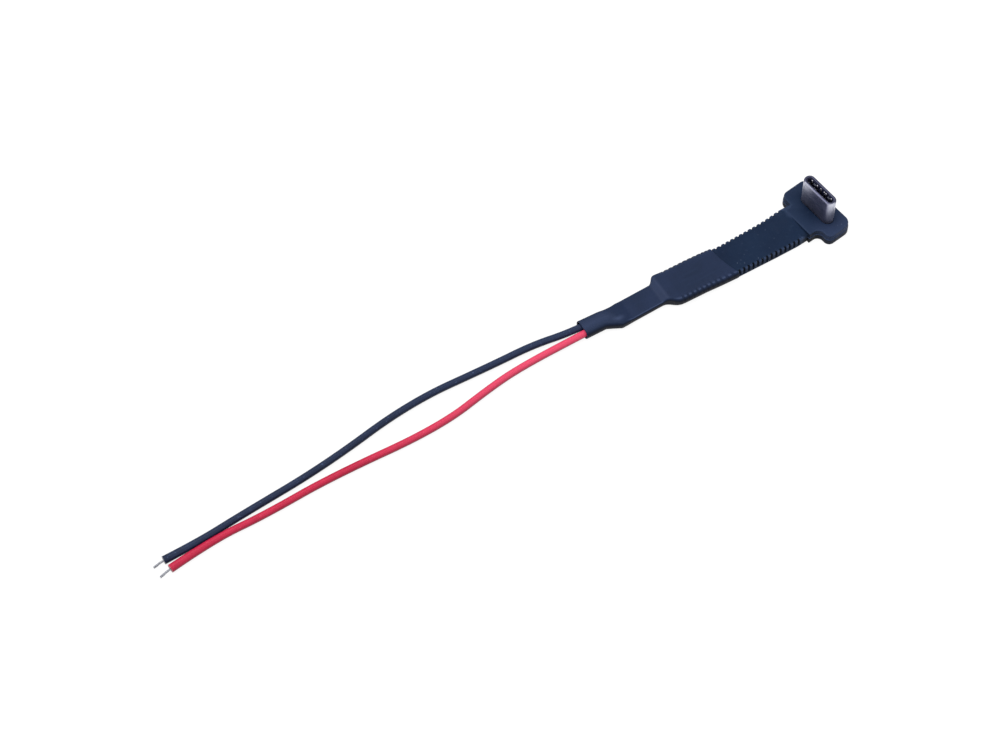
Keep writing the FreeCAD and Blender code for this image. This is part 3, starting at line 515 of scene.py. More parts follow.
def half_outline(ear, inset):
    """One half of the head's outline at an inset: straight runs between arcs, where an arc round an
    outer corner gets smaller by the inset and the one in a notch gets larger by it."""
    side, front, back, far, near, notch = np.array(ear) + np.array([-1, -1, 1, -1, -1, 1]) * inset
    stem, end = STEM_SIDE - inset, STEM_END + inset
    arcs = [
        ((front - far, side - far), far, 0.0, 90.0),
        ((back + near, side - near), near, 90.0, 180.0),
        ((back - notch, stem + notch), notch, 360.0, 270.0),
    ]
    half = [np.array([[(FAR_EAR[1] + NEAR_EAR[1]) / 2 - inset, 0.0]])]
    for (x, y), radius, start, finish in arcs:
        angles = np.radians(np.linspace(start, finish, ARC_POINTS))
        half.append(np.c_[x + radius * np.cos(angles), y + radius * np.sin(angles)])
    half.append(np.array([[end, stem], [end, 0.0]]))
    corners = np.vstack(half)
    steps = np.ones(len(corners) - 1, int)
    steps[list(RUN_STEPS)] = list(RUN_STEPS.values())
    return divided(corners, steps)


def head_outline(inset):
    """The far half, then the near half mirrored and run backwards."""
    return np.vstack([half_outline(FAR_EAR, inset), half_outline(NEAR_EAR, inset)[-2:0:-1] * (1, -1)])


def oval_outline(angles, side, depth):
    """An oval with straight sides, met by rays from its middle at given angles: on the straight part
    where the ray reaches it first, else on the round end."""
    flat = side - depth
    c, s = np.abs(np.cos(angles)), np.abs(np.sin(angles))
    to_flat = depth / np.maximum(c, 1e-9)
    root = np.sqrt(np.maximum((flat * s) ** 2 - flat**2 + depth**2, 0))
    reach = np.where(to_flat * s <= flat, to_flat, flat * s + root)
    return np.c_[reach * np.cos(angles), reach * np.sin(angles)]


def at_height(outline, z):
    """An outline as a flat ring at one height."""
    return np.c_[outline, np.full(len(outline), z)]


def head_skin():
    """Rings from the underside's middle up the wall, over the ledge and the rounded upper edge, across
    the top to the plug's socket and down to its floor. The rings of the socket follow the outline's
    angles."""
    levels = FOOT_COURSE + [(inset, LEDGE_TOP + above) for inset, above in LEDGE_COURSE]
    levels.append((LEDGE, HEAD_TOP - TOP_ROUND - EDGE_MARGIN))
    levels += [
        (LEDGE + TOP_ROUND * (1 - math.cos(turn)), HEAD_TOP - TOP_ROUND * (1 - math.sin(turn)))
        for turn in np.radians([0, 15, 30, 45, 60, 75, 90])
    ]
    levels.append((LEDGE + TOP_ROUND + EDGE_MARGIN, HEAD_TOP))
    rings = [at_height(head_outline(inset), z) for inset, z in levels]
    angles = np.arctan2(rings[-1][:, 1], rings[-1][:, 0])
    socket = [(grow, HEAD_TOP + above) for grow, above in SOCKET_COURSE] + [(0.0, SOCKET_FLOOR)]
    for grow, z in socket:
        rings.append(at_height(oval_outline(angles, SOCKET_SIDE + grow, SOCKET_DEPTH + grow), z))
    return ring_skin(on_head(np.array(rings)))


def tooth_share(x):
    """How deep the strap's edge is cut at a reach: nothing on a tooth, all in a gap, rising over a
    short slope on each side of the gap."""
    from_gap = np.abs((x - TOOTH_FIRST + TOOTH_PITCH / 2) % TOOTH_PITCH - TOOTH_PITCH / 2)
    toothed = (x < TOOTH_FIRST + TOOTH_PITCH / 2) & (x > STRAP_END + TOOTH_PITCH)
    return np.where(toothed, eased(ramp(from_gap, HALF_GAP, HALF_GAP - GAP_SLOPE)), 0.0)


def strap_course(x):
    """The strap's middle and its width at each reach, straight from one row to the next."""
    return [np.interp(x, STRAP_ROWS[:, 0], STRAP_ROWS[:, column]) for column in (1, 2)]


def section_rings(middle, width, low, high, radius, corner=6, long=16, short=3):
    """Rings of a rectangle with round corners, one for each entry of the five arrays. A ring's point is
    the section's middle, plus its share of the flat sides, plus the corner radius in its own direction.
    Each corner has its number of points, and the long and the short sides have their numbers of steps."""
    shares, directions = [], []
    signs = [(1, 1), (-1, 1), (-1, -1), (1, -1)]
    for number, (sy, sz) in enumerate(signs):
        angles = math.pi / 2 * (number + np.linspace(0, 1, corner))
        shares.append(np.tile((sy, sz), (corner, 1)).astype(float))
        directions.append(np.c_[np.cos(angles), np.sin(angles)])
        steps = long if number % 2 == 0 else short
        after = signs[(number + 1) % 4]
        part = np.arange(1, steps)[:, None] / steps
        shares.append(np.array((sy, sz)) + part * (np.array(after) - (sy, sz)))
        directions.append(np.tile(directions[-1][-1], (steps - 1, 1)))
    shares, directions = np.vstack(shares), np.vstack(directions)
    flat = np.c_[width / 2 - radius, (high - low) / 2 - radius]
    centre = np.c_[middle, (low + high) / 2]
    yz = centre[:, None] + shares[None] * flat[:, None] + directions[None] * radius[:, None, None]
    return yz, shares, directions


def strap_skin():
    """The strap's section carried along its length. The upper part of its sides is drawn in by the
    depth of the teeth, and its top climbs to the head's top on the far side."""
    toothed = np.arange(TOOTH_FIRST + 0.6, STRAP_END + 0.1, -TOOTH_PITCH / TOOTH_RINGS)
    x = np.r_[HEAD_BACK, -4.0, -5.3, -6.0, toothed, STRAP_END + END_EDGE, STRAP_END]
    drawn_in = np.r_[np.zeros(len(x) - 1), END_EDGE]
    middle, width = strap_course(x)
    low, high = np.full(len(x), STRAP_LOW) + drawn_in, np.full(len(x), STRAP_TOP) - drawn_in
    radius = np.interp(x, CORNER_REACHES, CORNER_RADII)
    yz, shares, directions = section_rings(middle, width - 2 * drawn_in, low, high, radius)
    beside = (np.abs(shares[:, 0]) > 0.999)[None] * ramp(yz[..., 1], *GAP_HEIGHTS)
    gap = tooth_share(x)[:, None] * beside
    yz[..., 0] -= TOOTH_DEPTH * gap * np.where(yz[..., 0] > 0, FAR_DEPTH_SHARE, -1.0)
    climb = eased(ramp(x, *CLIMB_REACHES))[:, None] * ramp(yz[..., 0], *CLIMB_ACROSS)
    yz[..., 1] += CLIMB * climb * ramp(yz[..., 1], *STRAP_UPPER)
    rings = np.concatenate([np.broadcast_to(x[:, None, None], (*yz.shape[:2], 1)), yz], axis=2)
    return ring_skin((rings + (PLUG_X, 0, 0)) * MM)


def moulding_marks(points):
    """How much painted highlight and painted shade each point of the moulding gets. Painted highlight: near
    the height of the ledge and of the upper edge, outside the socket, and on the teeth's upper edges.
    Painted
    shade: in the gaps between teeth, in the near notch, and on the wall below the ledge."""
    x, y, z = (points / MM - (PLUG_X, 0, 0)).T
    middle, width = strap_course(x)
    inward = width / 2 - np.abs(y - middle)
    along_head = np.abs(x * math.cos(HEAD_TURN) + y * math.sin(HEAD_TURN))
    across_head = np.abs(y * math.cos(HEAD_TURN) - x * math.sin(HEAD_TURN))
    by_socket = (along_head < SOCKET_DEPTH + SOCKET_MARGIN) & (across_head < SOCKET_SIDE + SOCKET_MARGIN)
    on_wall = (x > STEM_END - WALL_MARGIN) & ~by_socket
    on_teeth = (x < TOOTH_FIRST + TOOTH_PITCH) & (inward < HIGHLIT_IN) & (z > STRAP_TOP - HIGHLIT_DOWN)
    painted_light_and_wear = on_wall * (LEDGE_HIGHLIGHT * hill(z, *LEDGE_LINE) + EDGE_HIGHLIGHT * hill(z, *EDGE_LINE))
    painted_light_and_wear = painted_light_and_wear + on_teeth * TOOTH_HIGHLIGHT * (1 - tooth_share(x))
    in_gap = tooth_share(x) * (inward < SHADED_IN) * ramp(z, *GAP_HEIGHTS)
    by_notch = ramp(np.hypot(x - NEAR_NOTCH[0], y - NEAR_NOTCH[1]), *NOTCH_REACHES)
    in_notch = NOTCH_SHADE * by_notch * ramp(z, HEAD_TOP - 0.07, HEAD_TOP - 0.17)
    below_ledge = LEDGE_SHADE * on_wall * ramp(z, LEDGE_TOP - 0.05, LEDGE_TOP - 0.15)
    return {"painted_light_and_wear": np.clip(painted_light_and_wear, 0, 1), "shaded": np.clip(in_gap + in_notch + below_ledge, 0, 1)}


moulded = Finish("navy_moulding", 0.6, specular=0.1)
clouds = moulded.ranged(moulded.noise(6 * MM), (0.35, 0.65), (0.0, 1.0))
body_colour = moulded.between(clouds, "101f37", "14253e")
near_side = moulded.ranged(moulded.along("Y"), (-1.0 * MM, -5.0 * MM), (0.0, 0.8))
on_head_end = moulded.ranged(moulded.along("X"), (19.5 * MM, 24.0 * MM), (0.0, 1.0))
body_colour = moulded.between(moulded.product(near_side, on_head_end), body_colour, "2c3854")
# Painted shade in gaps, the near notch and below the ledge; painted highlight on ledge, edge and teeth.
body_colour = moulded.between(moulded.mark("shaded"), body_colour, "070b14")
body_colour = moulded.between(moulded.mark("painted_light_and_wear"), body_colour, "3b4966")
scuffs = moulded.ranged(moulded.noise(0.7 * MM, 6.0), (0.6, 0.75), (0.0, 0.35))
specks = moulded.specks(0.9 * MM, 0.12)
dusty = moulded.ranged(moulded.noise(4 * MM), (0.54, 0.64), (0.0, 0.6))
dust = moulded.product(specks, dusty)
moulded.colour(moulded.between(dust, moulded.between(scuffs, body_colour, "2c3b54"), "7c88a0"))
moulded.roughness(moulded.ranged(moulded.noise(1.0 * MM), (0.3, 0.7), (0.5, 0.68)))
grain, waves = moulded.noise(0.11 * MM, 3.0), moulded.noise(1.5 * MM, 2.0)
moulded.bumps([(grain, 0.012 * MM), (waves, 0.02 * MM), (dust, 0.02 * MM)])

head = mesh_piece("moulded_head_and_strap", [head_skin()], moulded.material)
strap = mesh_piece("strap_blank", [strap_skin()], moulded.material)
union = head.modifiers.new("one_moulding", "BOOLEAN")
union.operation = "UNION"
union.object = strap
union.solver = "EXACT"
bpy.context.view_layer.update()
joined = bpy.data.meshes.new_from_object(head.evaluated_get(bpy.context.evaluated_depsgraph_get()))
head.modifiers.clear()
head.data = joined
mark_points(joined, moulding_marks(mesh_places(joined)))
joined.shade_smooth()
joined.set_sharp_from_angle(angle=math.radians(38))
bpy.data.objects.remove(strap)
ride_and_name(head, "navy_moulding", "head_and_strap")


# The shrunk sleeve
# One piece of heat-shrink tube, semi-matt navy. It is shrunk tight over the strap's end, where the teeth
# show through, flat over the narrow film, swollen over the solder joints and oval over the two wires.
SLEEVE_WALL = 0.25
# Each row: reach from the plug, middle, width, low, high, corner radius.
SLEEVE_STATIONS = np.array(
    [
        (-21.80, -0.16, 7.92, 0.00, 2.40, 0.90),
        (-24.00, -0.01, 8.02, 0.00, 2.40, 1.00),
        (-28.00, 0.25, 8.01, 0.00, 2.40, 1.05),
        (-33.00, 0.40, 7.96, 0.00, 2.40, 1.05),
        (-33.80, 0.48, 7.87, 0.00, 2.40, 1.00),
        (-34.40, 0.63, 7.62, 0.00, 2.40, 0.90),
        (-34.90, 0.84, 7.24, 0.00, 2.40, 0.80),
        (-35.40, 1.06, 6.80, 0.02, 2.40, 0.70),
        (-35.90, 1.15, 6.25, 0.06, 2.34, 0.60),
        (-36.40, 0.93, 5.38, 0.14, 1.96, 0.50),
        (-36.90, 0.76, 4.92, 0.20, 1.62, 0.42),
        (-43.80, 0.68, 4.95, 0.20, 1.60, 0.42),
        (-44.90, 0.60, 5.00, 0.15, 1.95, 0.62),
        (-46.20, 0.50, 4.90, 0.10, 2.15, 0.75),
        (-47.40, 0.85, 4.35, 0.08, 2.20, 0.85),
        (-49.00, 1.38, 3.80, 0.03, 2.26, 0.95),
        (-53.30, 1.56, 3.90, 0.02, 2.26, 0.95),
    ]
)
CUT_END, TUBE_END = SLEEVE_STATIONS[0, 0], SLEEVE_STATIONS[-1, 0]
SOFTENED = 0.2
# The cut end, over the strap: its slant in plan, how far its middle bows out, half its width, and how far
# in both are felt. The tube's end, round the wires: how it leans, from what height, and how far in.
CUT_SLANT, CUT_BOW, HALF_CUT, CUT_REACH = 0.22, 0.4, 3.9, 3.0
END_LEAN, END_MIDDLE, END_REACH = 0.10, 1.1, 1.2
# The teeth's print, and the reach that it fades in over from the strap's end. The dip between the wires, and
# its share underneath. The neck's low ridge, with the neck's middle and half its length. The reaches
# between which the tube round the wires begins.
PRINT_DEPTH, PRINT_STEP = 0.15, 1.0
DIP_DEPTH, DIP_WIDTH, DIP_BELOW = 0.15, 0.62, 0.4
RIDGE_HEIGHT, RIDGE_PLACE, RIDGE_WIDTH = 0.07, -1.3, 0.3
NECK_MIDDLE, NECK_HALF = -41.0, 3.6
TUBE_START, TUBE_FULL = -46.4, -48.4
# Heights between which a point counts as on top, and as underneath.
TOP_HEIGHTS, LOW_HEIGHTS = (1.1, 2.0), (0.6, 0.1)
# Painted highlight on the upper edge: the angle of its line and how wide it is, and the far side's share of
# the near side's. How much over the teeth and along the neck, and the reaches over which the neck's comes
# in.
HIGHLIGHT_RISE, HIGHLIGHT_WIDTH, FAR_HIGHLIGHT_SHARE = 64.0, 12.0, 0.25
PRINT_HIGHLIGHT, NECK_HIGHLIGHT, NECK_REACHES = 0.36, 0.4, ((-36.6, -37.0), (-45.0, -44.2))
# Painted highlight on the shoulder: how much, where, and between which distances from it. On the swelling:
# how much, then where and how wide along and across. Along the tube's middle: how much, and how wide.
SHOULDER_HIGHLIGHT, SHOULDER, SHOULDER_REACHES = 0.1, -36.2, (0.96, 0.36)
SWELLING_HIGHLIGHT, SWELLING_ALONG, SWELLING_ACROSS = 0.26, (-46.2, 1.0), (-0.9, 0.5)
TUBE_HIGHLIGHT, TUBE_HIGHLIGHT_WIDTH = 0.14, 1.2
# How much painted shade the inner face, the sides and the underside get, and the angles between which a face
# comes into it. Then the mesh's rings in each pitch of the teeth.
SLEEVE_SHADE, SHADE_RISES = 0.55, (60.0, 20.0)
PRINT_RINGS = 12


def sleeve_sizes(x):
    """The sleeve's sizes at each reach: straight from one station to the next, then averaged over a
    short stretch, so that its creases are soft."""
    rising = SLEEVE_STATIONS[::-1]
    sizes = []
    for shift in np.linspace(-SOFTENED, SOFTENED, 7):
        probe = np.clip(x + shift, TUBE_END, CUT_END)
        sizes.append([np.interp(probe, rising[:, 0], column) for column in rising[:, 1:].T])
    return np.mean(sizes, axis=0)


def tooth_print(x, directions):
    """How far the sleeve's outer face sinks between the strap's teeth: all of it towards the upper
    corners and nothing below, by the direction that the face looks in."""
    along = ramp(x, STRAP_END, STRAP_END + PRINT_STEP) * tooth_share(x)
    upper = np.clip(1.3 * directions[:, 1] + 0.1, 0, 1) * np.abs(directions[:, 0]) ** 0.4
    return PRINT_DEPTH * along[:, None] * upper


def top_relief(x, y, z, middle):
    """What the dip between the wires takes off the tube's top and adds underneath, and what the low
    ridge adds to the neck's top. Each is a hill across, faded along the sleeve."""
    on_top, underneath = ramp(z, *TOP_HEIGHTS), ramp(z, *LOW_HEIGHTS)
    on_tube = ramp(x, TUBE_START, TUBE_FULL)[:, None]
    dip = DIP_DEPTH * on_tube * hill(y, middle[:, None], DIP_WIDTH)
    on_neck = np.clip(1 - np.abs(x - NECK_MIDDLE) / NECK_HALF, 0, 1)[:, None] ** 0.5
    ridge = RIDGE_HEIGHT * on_neck * hill(y, RIDGE_PLACE, RIDGE_WIDTH)
    return dip * (DIP_BELOW * underneath - on_top) + ridge * on_top


def end_shift(x, y, z):
    """How far each point near the two ends moves along the sleeve: back by the cut end's slant and bow,
    and outwards by the tube end's lean, both faded over their reaches."""
    near_cut = ramp(x, CUT_END - CUT_REACH, CUT_END)[:, None]
    near_end = ramp(x, TUBE_END + END_REACH, TUBE_END)[:, None]
    cut = near_cut * (CUT_SLANT * y + CUT_BOW * (1 - (y / HALF_CUT) ** 2))
    return near_end * END_LEAN * (z - END_MIDDLE) - cut


def sleeve_painted_light(x, y, z, shares, directions):
    """How much painted highlight each point of the sleeve gets, with y counted from its middle: on the tooth
    tips and the neck's upper edge, most on the near side, on the shoulder, on the swelling and along the
    tube's middle. Below nought it is painted shade, as on the sides and underneath."""
    rise = np.degrees(np.arctan2(directions[:, 1], np.abs(directions[:, 0])))
    upper_edge = hill(rise, HIGHLIGHT_RISE, HIGHLIGHT_WIDTH) * np.where(shares[:, 0] < 0, 1.0, FAR_HIGHLIGHT_SHARE)
    on_tips = PRINT_HIGHLIGHT * ramp(x, STRAP_END, STRAP_END + PRINT_STEP) * (1 - tooth_share(x)) ** 3
    on_neck = NECK_HIGHLIGHT * ramp(x, *NECK_REACHES[0]) * ramp(x, *NECK_REACHES[1])
    on_shoulder = SHOULDER_HIGHLIGHT * ramp(np.abs(x - SHOULDER), *SHOULDER_REACHES)
    painted_light_and_wear = (on_tips + on_neck)[:, None] * upper_edge
    painted_light_and_wear = painted_light_and_wear + on_shoulder[:, None] * np.clip(directions[:, 1], 0, 1)
    on_swelling = SWELLING_HIGHLIGHT * hill(x, *SWELLING_ALONG)[:, None] * hill(y, *SWELLING_ACROSS)
    on_tube = TUBE_HIGHLIGHT * ramp(x, TUBE_START, TUBE_FULL)[:, None] * hill(y, 0.0, TUBE_HIGHLIGHT_WIDTH)
    painted_light_and_wear = painted_light_and_wear + ramp(z, *TOP_HEIGHTS) * (on_swelling + on_tube)
    return np.clip(painted_light_and_wear, 0, 1) - SLEEVE_SHADE * ramp(rise, *SHADE_RISES)


def sleeve_wall(x, inside):
    """Rings of the sleeve's outer face or, a wall's thickness further in, its inner one, and the painted
    highlight and shade at each of their points. To the plain section come the teeth's print, the top's
    relief and the ends' shift."""
    middle, width, low, high, radius = sleeve_sizes(x)
    shrink = SLEEVE_WALL * inside
    radius = np.maximum(radius - shrink, 0.08)
    yz, shares, directions = section_rings(
        middle, width - 2 * shrink, low + shrink, high - shrink, radius, corner=8, long=26, short=5
    )
    yz = yz - (1 - inside) * tooth_print(x, directions)[..., None] * directions
    painted_light_and_wear = sleeve_painted_light(x, yz[..., 0] - middle[:, None], yz[..., 1], shares, directions)
    yz[..., 1] += top_relief(x, yz[..., 0], yz[..., 1], middle)
    along = x[:, None] + end_shift(x, yz[..., 0], yz[..., 1])
    return np.concatenate([along[..., None], yz], axis=2), painted_light_and_wear


def sleeve_skin():
    """The outer face from the tube's end to the cut end, then the inner face back again, joined in a
    loop. The rings next to each end draw in a little, so that the cut edges are not knife-sharp. With
    them comes the painted highlight and shade at each point; the inner face is all painted shade."""
    toothed = np.arange(CUT_END - 0.12, -36.0, -TOOTH_PITCH / PRINT_RINGS)
    plain = np.r_[np.arange(toothed[-1] - 0.1, -45.0, -0.2), np.arange(-45.1, TUBE_END + 0.1, -0.16)]
    x = np.r_[toothed, plain]
    outer, outer_painted_light = (values[::-1] for values in sleeve_wall(x, 0.0))
    ends = []
    for reaches, depths in (
        ([TUBE_END, TUBE_END, TUBE_END + 0.02], [0.86, 0.14, 0.0]),
        ([CUT_END, CUT_END], [0.14, 0.86]),
    ):
        outside, inside = (sleeve_wall(np.array(reaches), side)[0] for side in (0.0, 1.0))
        ends.append(outside + (inside - outside) * np.array(depths)[:, None, None])
    inner = sleeve_wall(np.r_[CUT_END - 0.05, x[::3], TUBE_END + 0.05], 1.0)[0]
    rings = np.concatenate([ends[0], outer, ends[1], inner])
    end_painted_light = [np.zeros(end.shape[:2]) for end in ends]
    painted_light_and_wear = np.concatenate([end_painted_light[0], outer_painted_light, end_painted_light[1], np.full(inner.shape[:2], -SLEEVE_SHADE)])
    return ring_skin((rings + (PLUG_X, 0, 0)) * MM, closed_loop=True), painted_light_and_wear


shrunk = Finish("navy_sleeve", 0.45, specular=0.12)
clouds = shrunk.ranged(shrunk.noise(5 * MM), (0.35, 0.65), (0.0, 1.0))
streaks = shrunk.noise(1.1 * MM, 3.0, shrunk.stretched((0.12, 1.0, 1.0)))
tube_colour = shrunk.between(clouds, "19263f", "1e2b47")
stretched = shrunk.ranged(streaks, (0.55, 0.75), (0.0, 0.4))
tube_colour = shrunk.between(stretched, tube_colour, "26344f")
# Painted shade on the sides, underneath and inside; painted highlight on tips, neck, shoulder and tube.
shade_share = shrunk.ranged(shrunk.mark("painted_light_and_wear"), (0.0, -SLEEVE_SHADE), (0.0, 1.0))
tube_colour = shrunk.between(shade_share, tube_colour, "0a101f")
highlight_share = shrunk.ranged(shrunk.mark("painted_light_and_wear"), (0.0, 1.0), (0.0, 1.0))
shrunk.colour(shrunk.between(highlight_share, tube_colour, "59678c"))
shrunk.roughness(shrunk.ranged(streaks, (0.3, 0.7), (0.38, 0.55)))
shrunk.bumps([(streaks, 0.02 * MM), (shrunk.noise(0.14 * MM, 3.0), 0.006 * MM)])
skin, painted_light_and_wear = sleeve_skin()
sleeve = mesh_piece("shrunk_sleeve", [skin], shrunk.material, sharp=60)
mark_points(sleeve.data, {"painted_light_and_wear": painted_light_and_wear})
ride_and_name(sleeve, "navy_sleeve", "heat_shrink_sleeve")


# The plug's shell
# Drawn from thin steel and nickel plated, bright and smooth, with its mouth rolled in over the insulator.
# It stands in its socket in the head with a thin dark gap round its foot.
SHELL_SIDE, SHELL_DEPTH, SHELL_FOOT, MOUTH = 4.125, 1.2, 1.3, 9.4
SHELL_WALL, RIM_ROUND = 0.25, 0.34
# The lip past the rounded rim, as pairs of inset and depth below the mouth: down a short slope to the
# mouth's inner edge, then back under it to the wall.
LIP_COURSE = [(0.40, 0.005), (0.50, 0.05), (0.56, 0.14), (0.575, 0.22)]
LIP_COURSE += [(0.56, 0.28), (0.40, 0.29), (0.27, 0.30), (SHELL_WALL, 0.34)]
ROUND_POINTS, SIDE_POINTS, RIM_RINGS = 25, 13, 9
# Between which insets the lip darkens with painted shade. Where the rim's far end starts, and how far out
# and up its far side takes to darken with painted shade. Between which heights and places along the oval the
# face and the near end get a painted sheen.
LIP_SHADE_INSETS = (0.10, 0.22)
FAR_RIM, DARK_OUT, DARK_UP = 3.1, 0.4, 0.12
FACE_SHEEN, END_SHEEN = ((3.6, 8.6), (-0.2, 3.3)), ((3.4, 6.4), (-3.3, -3.8))


def shell_outline(inset):
    """The shell's oval at an inset: a half circle round each end and two straight sides between."""
    radius, flat = SHELL_DEPTH - inset, SHELL_SIDE - SHELL_DEPTH
    bend = np.linspace(-math.pi / 2, math.pi / 2, ROUND_POINTS)
    along = flat * np.linspace(1, -1, SIDE_POINTS)[1:-1]
    beside = np.full(len(along), radius)
    far_end = np.c_[-radius * np.sin(bend), flat + radius * np.cos(bend)]
    near_end = np.c_[radius * np.sin(bend), -flat - radius * np.cos(bend)]
    return np.vstack([far_end, np.c_[-beside, along], near_end, np.c_[beside, -along]])


def shell_marks(rings, insets):
    """What each point of the shell shows. Painted shade: darker past the rim, and on the rim's far side.
    Painted sheen: paler towards the mouth on the far half of the face, and on the near end."""
    across, along, height = np.moveaxis(rings, -1, 0)
    rim_shade = ramp(insets, *LIP_SHADE_INSETS)[:, None]
    far_rim = ramp(np.maximum(across, along - FAR_RIM), 0.0, DARK_OUT)
    far_rim = far_rim * ramp(height, MOUTH - RIM_ROUND, MOUTH - RIM_ROUND + DARK_UP)
    face, near_end = (
        ramp(height, *heights) * ramp(along, *places) for heights, places in (FACE_SHEEN, END_SHEEN)
    )
    return {"rim_shade": np.maximum(rim_shade, far_rim), "painted_sheen": np.clip(face + near_end, 0, 1)}


def shell_skin():
    """The wall's section carried round the oval: up the outside, over the rounded rim, down the lip to
    the mouth's inner edge, and down the inside to the foot. With it come the shell's marks."""
    profile = [(0.03, SHELL_FOOT), (0.0, SHELL_FOOT + 0.03), (0.0, MOUTH - RIM_ROUND - 0.04)]
    profile += [
        (RIM_ROUND * (1 - math.cos(turn)), MOUTH - RIM_ROUND * (1 - math.sin(turn)))
        for turn in np.radians(np.linspace(0, 90, RIM_RINGS))
    ]
    profile += [(inset, MOUTH - below) for inset, below in LIP_COURSE]
    profile += [(SHELL_WALL, SHELL_FOOT + 0.02), (SHELL_WALL - 0.03, SHELL_FOOT)]
    rings = np.array([at_height(shell_outline(inset), z) for inset, z in profile])
    marks = shell_marks(rings, np.array(profile)[:, 0])
    return ring_skin(on_head(rings), closed_loop=True), marks


plated = Finish("plated_shell", 0.4, metallic=0.92)
drawn = plated.noise(0.5 * MM, 3.0, plated.stretched((1.0, 1.0, 0.08)))
smudges = plated.ranged(plated.noise(1.8 * MM, 3.0), (0.45, 0.7), (0.0, 1.0))
plate_colour = plated.between(smudges, "8c8ea8", "7c7e9a")
# Painted sheen on the face and the near end; painted shade past the rim and on its far side.
plate_colour = plated.between(plated.mark("painted_sheen"), plate_colour, "cdcfdc")
plated.colour(plated.between(plated.mark("rim_shade"), plate_colour, "484a60"))
plated.roughness(plated.ranged(smudges, (0.0, 1.0), (0.38, 0.5)))
plated.bumps([(drawn, 0.004 * MM), (plated.noise(0.08 * MM, 2.0), 0.0008 * MM)])
skin, marks = shell_skin()
shell = mesh_piece("plated_shell", [skin], plated.material, sharp=60)
mark_points(shell.data, marks)
ride_and_name(shell, "plated_shell", "plug_shell")


# Inside the plug
# A black moulding fills the shell. In its hollow lie two rows of stamped contacts, a stamped latch between
# them and a thin ground spring on each long side.
CONTACT_PITCH, ROW_MIDDLE = 0.5, 6.5
FAR_ROW, NEAR_ROW = (1, 4, 5, 7, 9, 12), (1, 4, 5, 9, 12)
# A contact's bent end, as pairs of reach from the plug's middle plane and height. Then its width and
# thickness, how it leans, and how far its last ring is drawn in.
TIP_COURSE = np.array([(0.62, 7.9), (0.48, 8.25), (0.37, 8.55), (0.35, 8.75), (0.41, 8.93), (0.49, 9.02)])
TIP_WIDE, TIP_THICK, TIP_LEAN, TIP_DRAWN_IN = 0.34, 0.12, 0.35, 0.5
TIP_SIDES = 12


def give_finish(nodes, material):
    """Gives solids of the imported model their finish."""
    for node in nodes:
        mesh = frame["nodes"][node].data
        mesh.materials.clear()
        mesh.materials.append(material)


def plain_finish(name, one, other, roughness, metallic, lump, grain):
    """A finish of two cloudy shades, with a size for its clouds and one for its fine grain."""
    finish = Finish(name, roughness, metallic=metallic)
    clouds = finish.ranged(finish.noise(lump), (0.35, 0.65), (0.0, 1.0))
    finish.colour(finish.between(clouds, one, other))
    finish.roughness(finish.ranged(finish.noise(lump / 2), (0.3, 0.7), (roughness * 0.8, roughness * 1.25)))
    finish.bumps([(finish.noise(grain, 3.0), grain * 0.08)])
    return finish.material


def contact_tip(side, number):
    """A stamped strip's bent end: an oval ring, wide along the row and thin across it, carried along
    the course that the strip takes above its slot, and drawn in at its last ring."""
    around = np.linspace(0, 2 * math.pi, TIP_SIDES, endpoint=False)
    size = np.r_[np.ones(len(TIP_COURSE) - 1), TIP_DRAWN_IN][:, None]
    x = side * (TIP_COURSE[:, :1] + TIP_THICK / 2 * size * np.cos(around))
    y = side * (number - ROW_MIDDLE) * CONTACT_PITCH + TIP_WIDE / 2 * size * np.sin(around)
    z = TIP_COURSE[:, 1:] + TIP_LEAN * TIP_THICK * size * np.cos(around)
    return ring_skin(on_head(np.stack([x, y, z], axis=-1)))


contacts = [name for name in frame["nodes"] if name.startswith("contact_")]
springs = ["latch_spring", "ground_spring_far", "ground_spring_near"]
for solids, *recipe in (
    (["plug_insulator"], "black_insulator", "161a32", "20264a", 0.5, 0.0, 1 * MM, 0.08 * MM),
    (contacts, "contact_gold", "dcd9d6", "c2c0c2", 0.25, 1.0, 0.4 * MM, 0.04 * MM),
    (springs, "spring_steel", "4a4c55", "3a3c44", 0.4, 1.0, 0.5 * MM, 0.05 * MM),
):
    give_finish(solids, plain_finish(*recipe))
tips = [contact_tip(1, number) for number in FAR_ROW] + [contact_tip(-1, number) for number in NEAR_ROW]
tip_finish = plain_finish("contact_tips", "dcdbe4", "bcbcca", 0.3, 1.0, 0.3 * MM, 0.04 * MM)
contact_tips = mesh_piece("contact_tips", tips, tip_finish)
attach(contact_tips, "root")


# Inside the moulding and the sleeve
# A small board and a film circuit with two copper conductors carry power from the plug to the solder
# joints. All of it is hidden in the finished lead.
conductors = ["ground_conductor", "supply_conductor"]
joints = ["black_solder_joint", "red_solder_joint"]
for solids, *recipe in (
    (["plug_board"], "board", "16402c", "1c4c34", 0.4, 0.0, 2 * MM, 0.15 * MM),
    (["flex_film"], "film", "9a5a1e", "a8692b", 0.35, 0.0, 3 * MM, 0.2 * MM),
    (conductors, "copper", "c47a52", "b36a45", 0.3, 1.0, 1 * MM, 0.1 * MM),
    (["tail_stiffener"], "stiffener", "c9b27c", "bfa66e", 0.5, 0.0, 2 * MM, 0.2 * MM),
    (["pull_down_resistor"], "resistor", "1d1d20", "28282c", 0.35, 0.0, 0.5 * MM, 0.05 * MM),
    (joints, "solder", "b9bbc0", "9fa1a8", 0.28, 1.0, 0.4 * MM, 0.1 * MM),
):
    give_finish(solids, plain_finish(*recipe))
give_finish(["black_wire_strands", "red_wire_strands"], tin.material)


# Table and light
# A white table and two soft boxes above, in a room of even white light. The table shows white to the
# camera, in reflections and through clear things, and keeps a faint shadow.
TABLE = 3.0
TABLE_GAP = 0.01 * MM
TABLE_GLOW, ROOM_GLOW = 0.86, 0.6
SEEN_GREY, LIT_GREY = (0.2, 0.2, 0.2, 1), (0.4, 0.4, 0.4, 1)
WHITE = (1, 1, 1, 1)

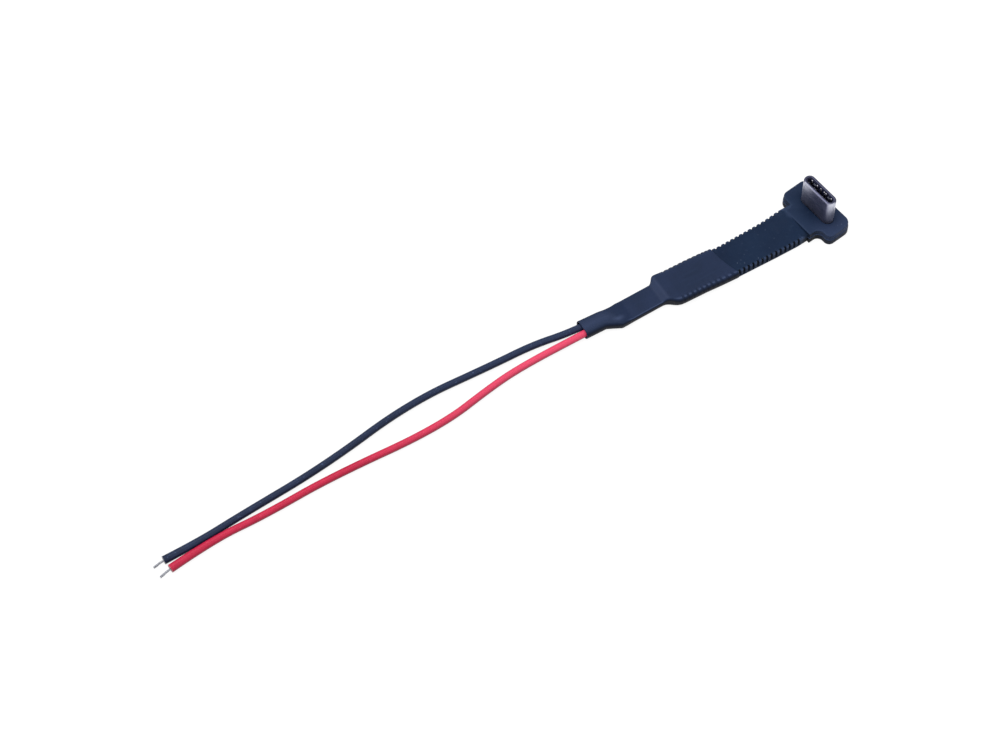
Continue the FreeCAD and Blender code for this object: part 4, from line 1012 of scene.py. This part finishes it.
corners = np.array([(-1, -1, 0), (1, -1, 0), (1, 1, 0), (-1, 1, 0)]) * TABLE
table_mesh = bpy.data.meshes.new("table")
table_mesh.from_pydata(corners - (0, 0, TABLE_GAP), [], [(0, 1, 2, 3)])
table = bpy.data.objects.new("table", table_mesh)
shown.link(table)
paper = bpy.data.materials.new("table_paper")
paper.use_nodes = True
nodes, links = paper.node_tree.nodes, paper.node_tree.links
nodes.clear()


def node(kind, **sockets):
    """A node of the table's material with some of its inputs set."""
    made = nodes.new(kind)
    for socket, value in sockets.items():
        made.inputs[socket].default_value = value
    return made


def joined_node(kind, *outputs):
    """A node of the table's material with other nodes' outputs led into its first inputs."""
    made = nodes.new(kind)
    for number, output in enumerate(outputs):
        links.new(output, made.inputs[number])
    return made


ray = node("ShaderNodeLightPath").outputs
seen = joined_node("ShaderNodeMath", ray["Is Camera Ray"], ray["Is Glossy Ray"])
seen.operation = "MAXIMUM"
seen_all = joined_node("ShaderNodeMath", seen.outputs[0], ray["Is Transmission Ray"])
seen_all.operation = "MAXIMUM"
shaded = node("ShaderNodeBsdfDiffuse", Color=SEEN_GREY)
white = node("ShaderNodeEmission", Color=WHITE, Strength=TABLE_GLOW)
sheet = joined_node("ShaderNodeAddShader", shaded.outputs[0], white.outputs[0])
lit = node("ShaderNodeBsdfDiffuse", Color=LIT_GREY)
choice = joined_node("ShaderNodeMixShader", seen_all.outputs[0], lit.outputs[0], sheet.outputs[0])
joined_node("ShaderNodeOutputMaterial", choice.outputs[0])
table_mesh.materials.append(paper)

world = bpy.data.worlds.new("room")
world.use_nodes = True
world.node_tree.nodes["Background"].inputs["Color"].default_value = WHITE
world.node_tree.nodes["Background"].inputs["Strength"].default_value = ROOM_GLOW
bpy.context.scene.world = world


def soft_box(name, place, size, watts):
    """A square lamp at a place in metres that faces the middle of the table."""
    lamp = bpy.data.lights.new(name, "AREA")
    lamp.size = size
    lamp.energy = watts
    fixture = bpy.data.objects.new(name, lamp)
    fixture.location = place
    fixture.rotation_mode = "QUATERNION"
    fixture.rotation_quaternion = (-Vector(place)).to_track_quat("-Z", "Y")
    shown.link(fixture)


soft_box("key_box", (-0.5, 0.6, 1.4), 2.0, 22.0)
soft_box("fill_box", (0.4, -0.9, 1.2), 1.6, 6.0)
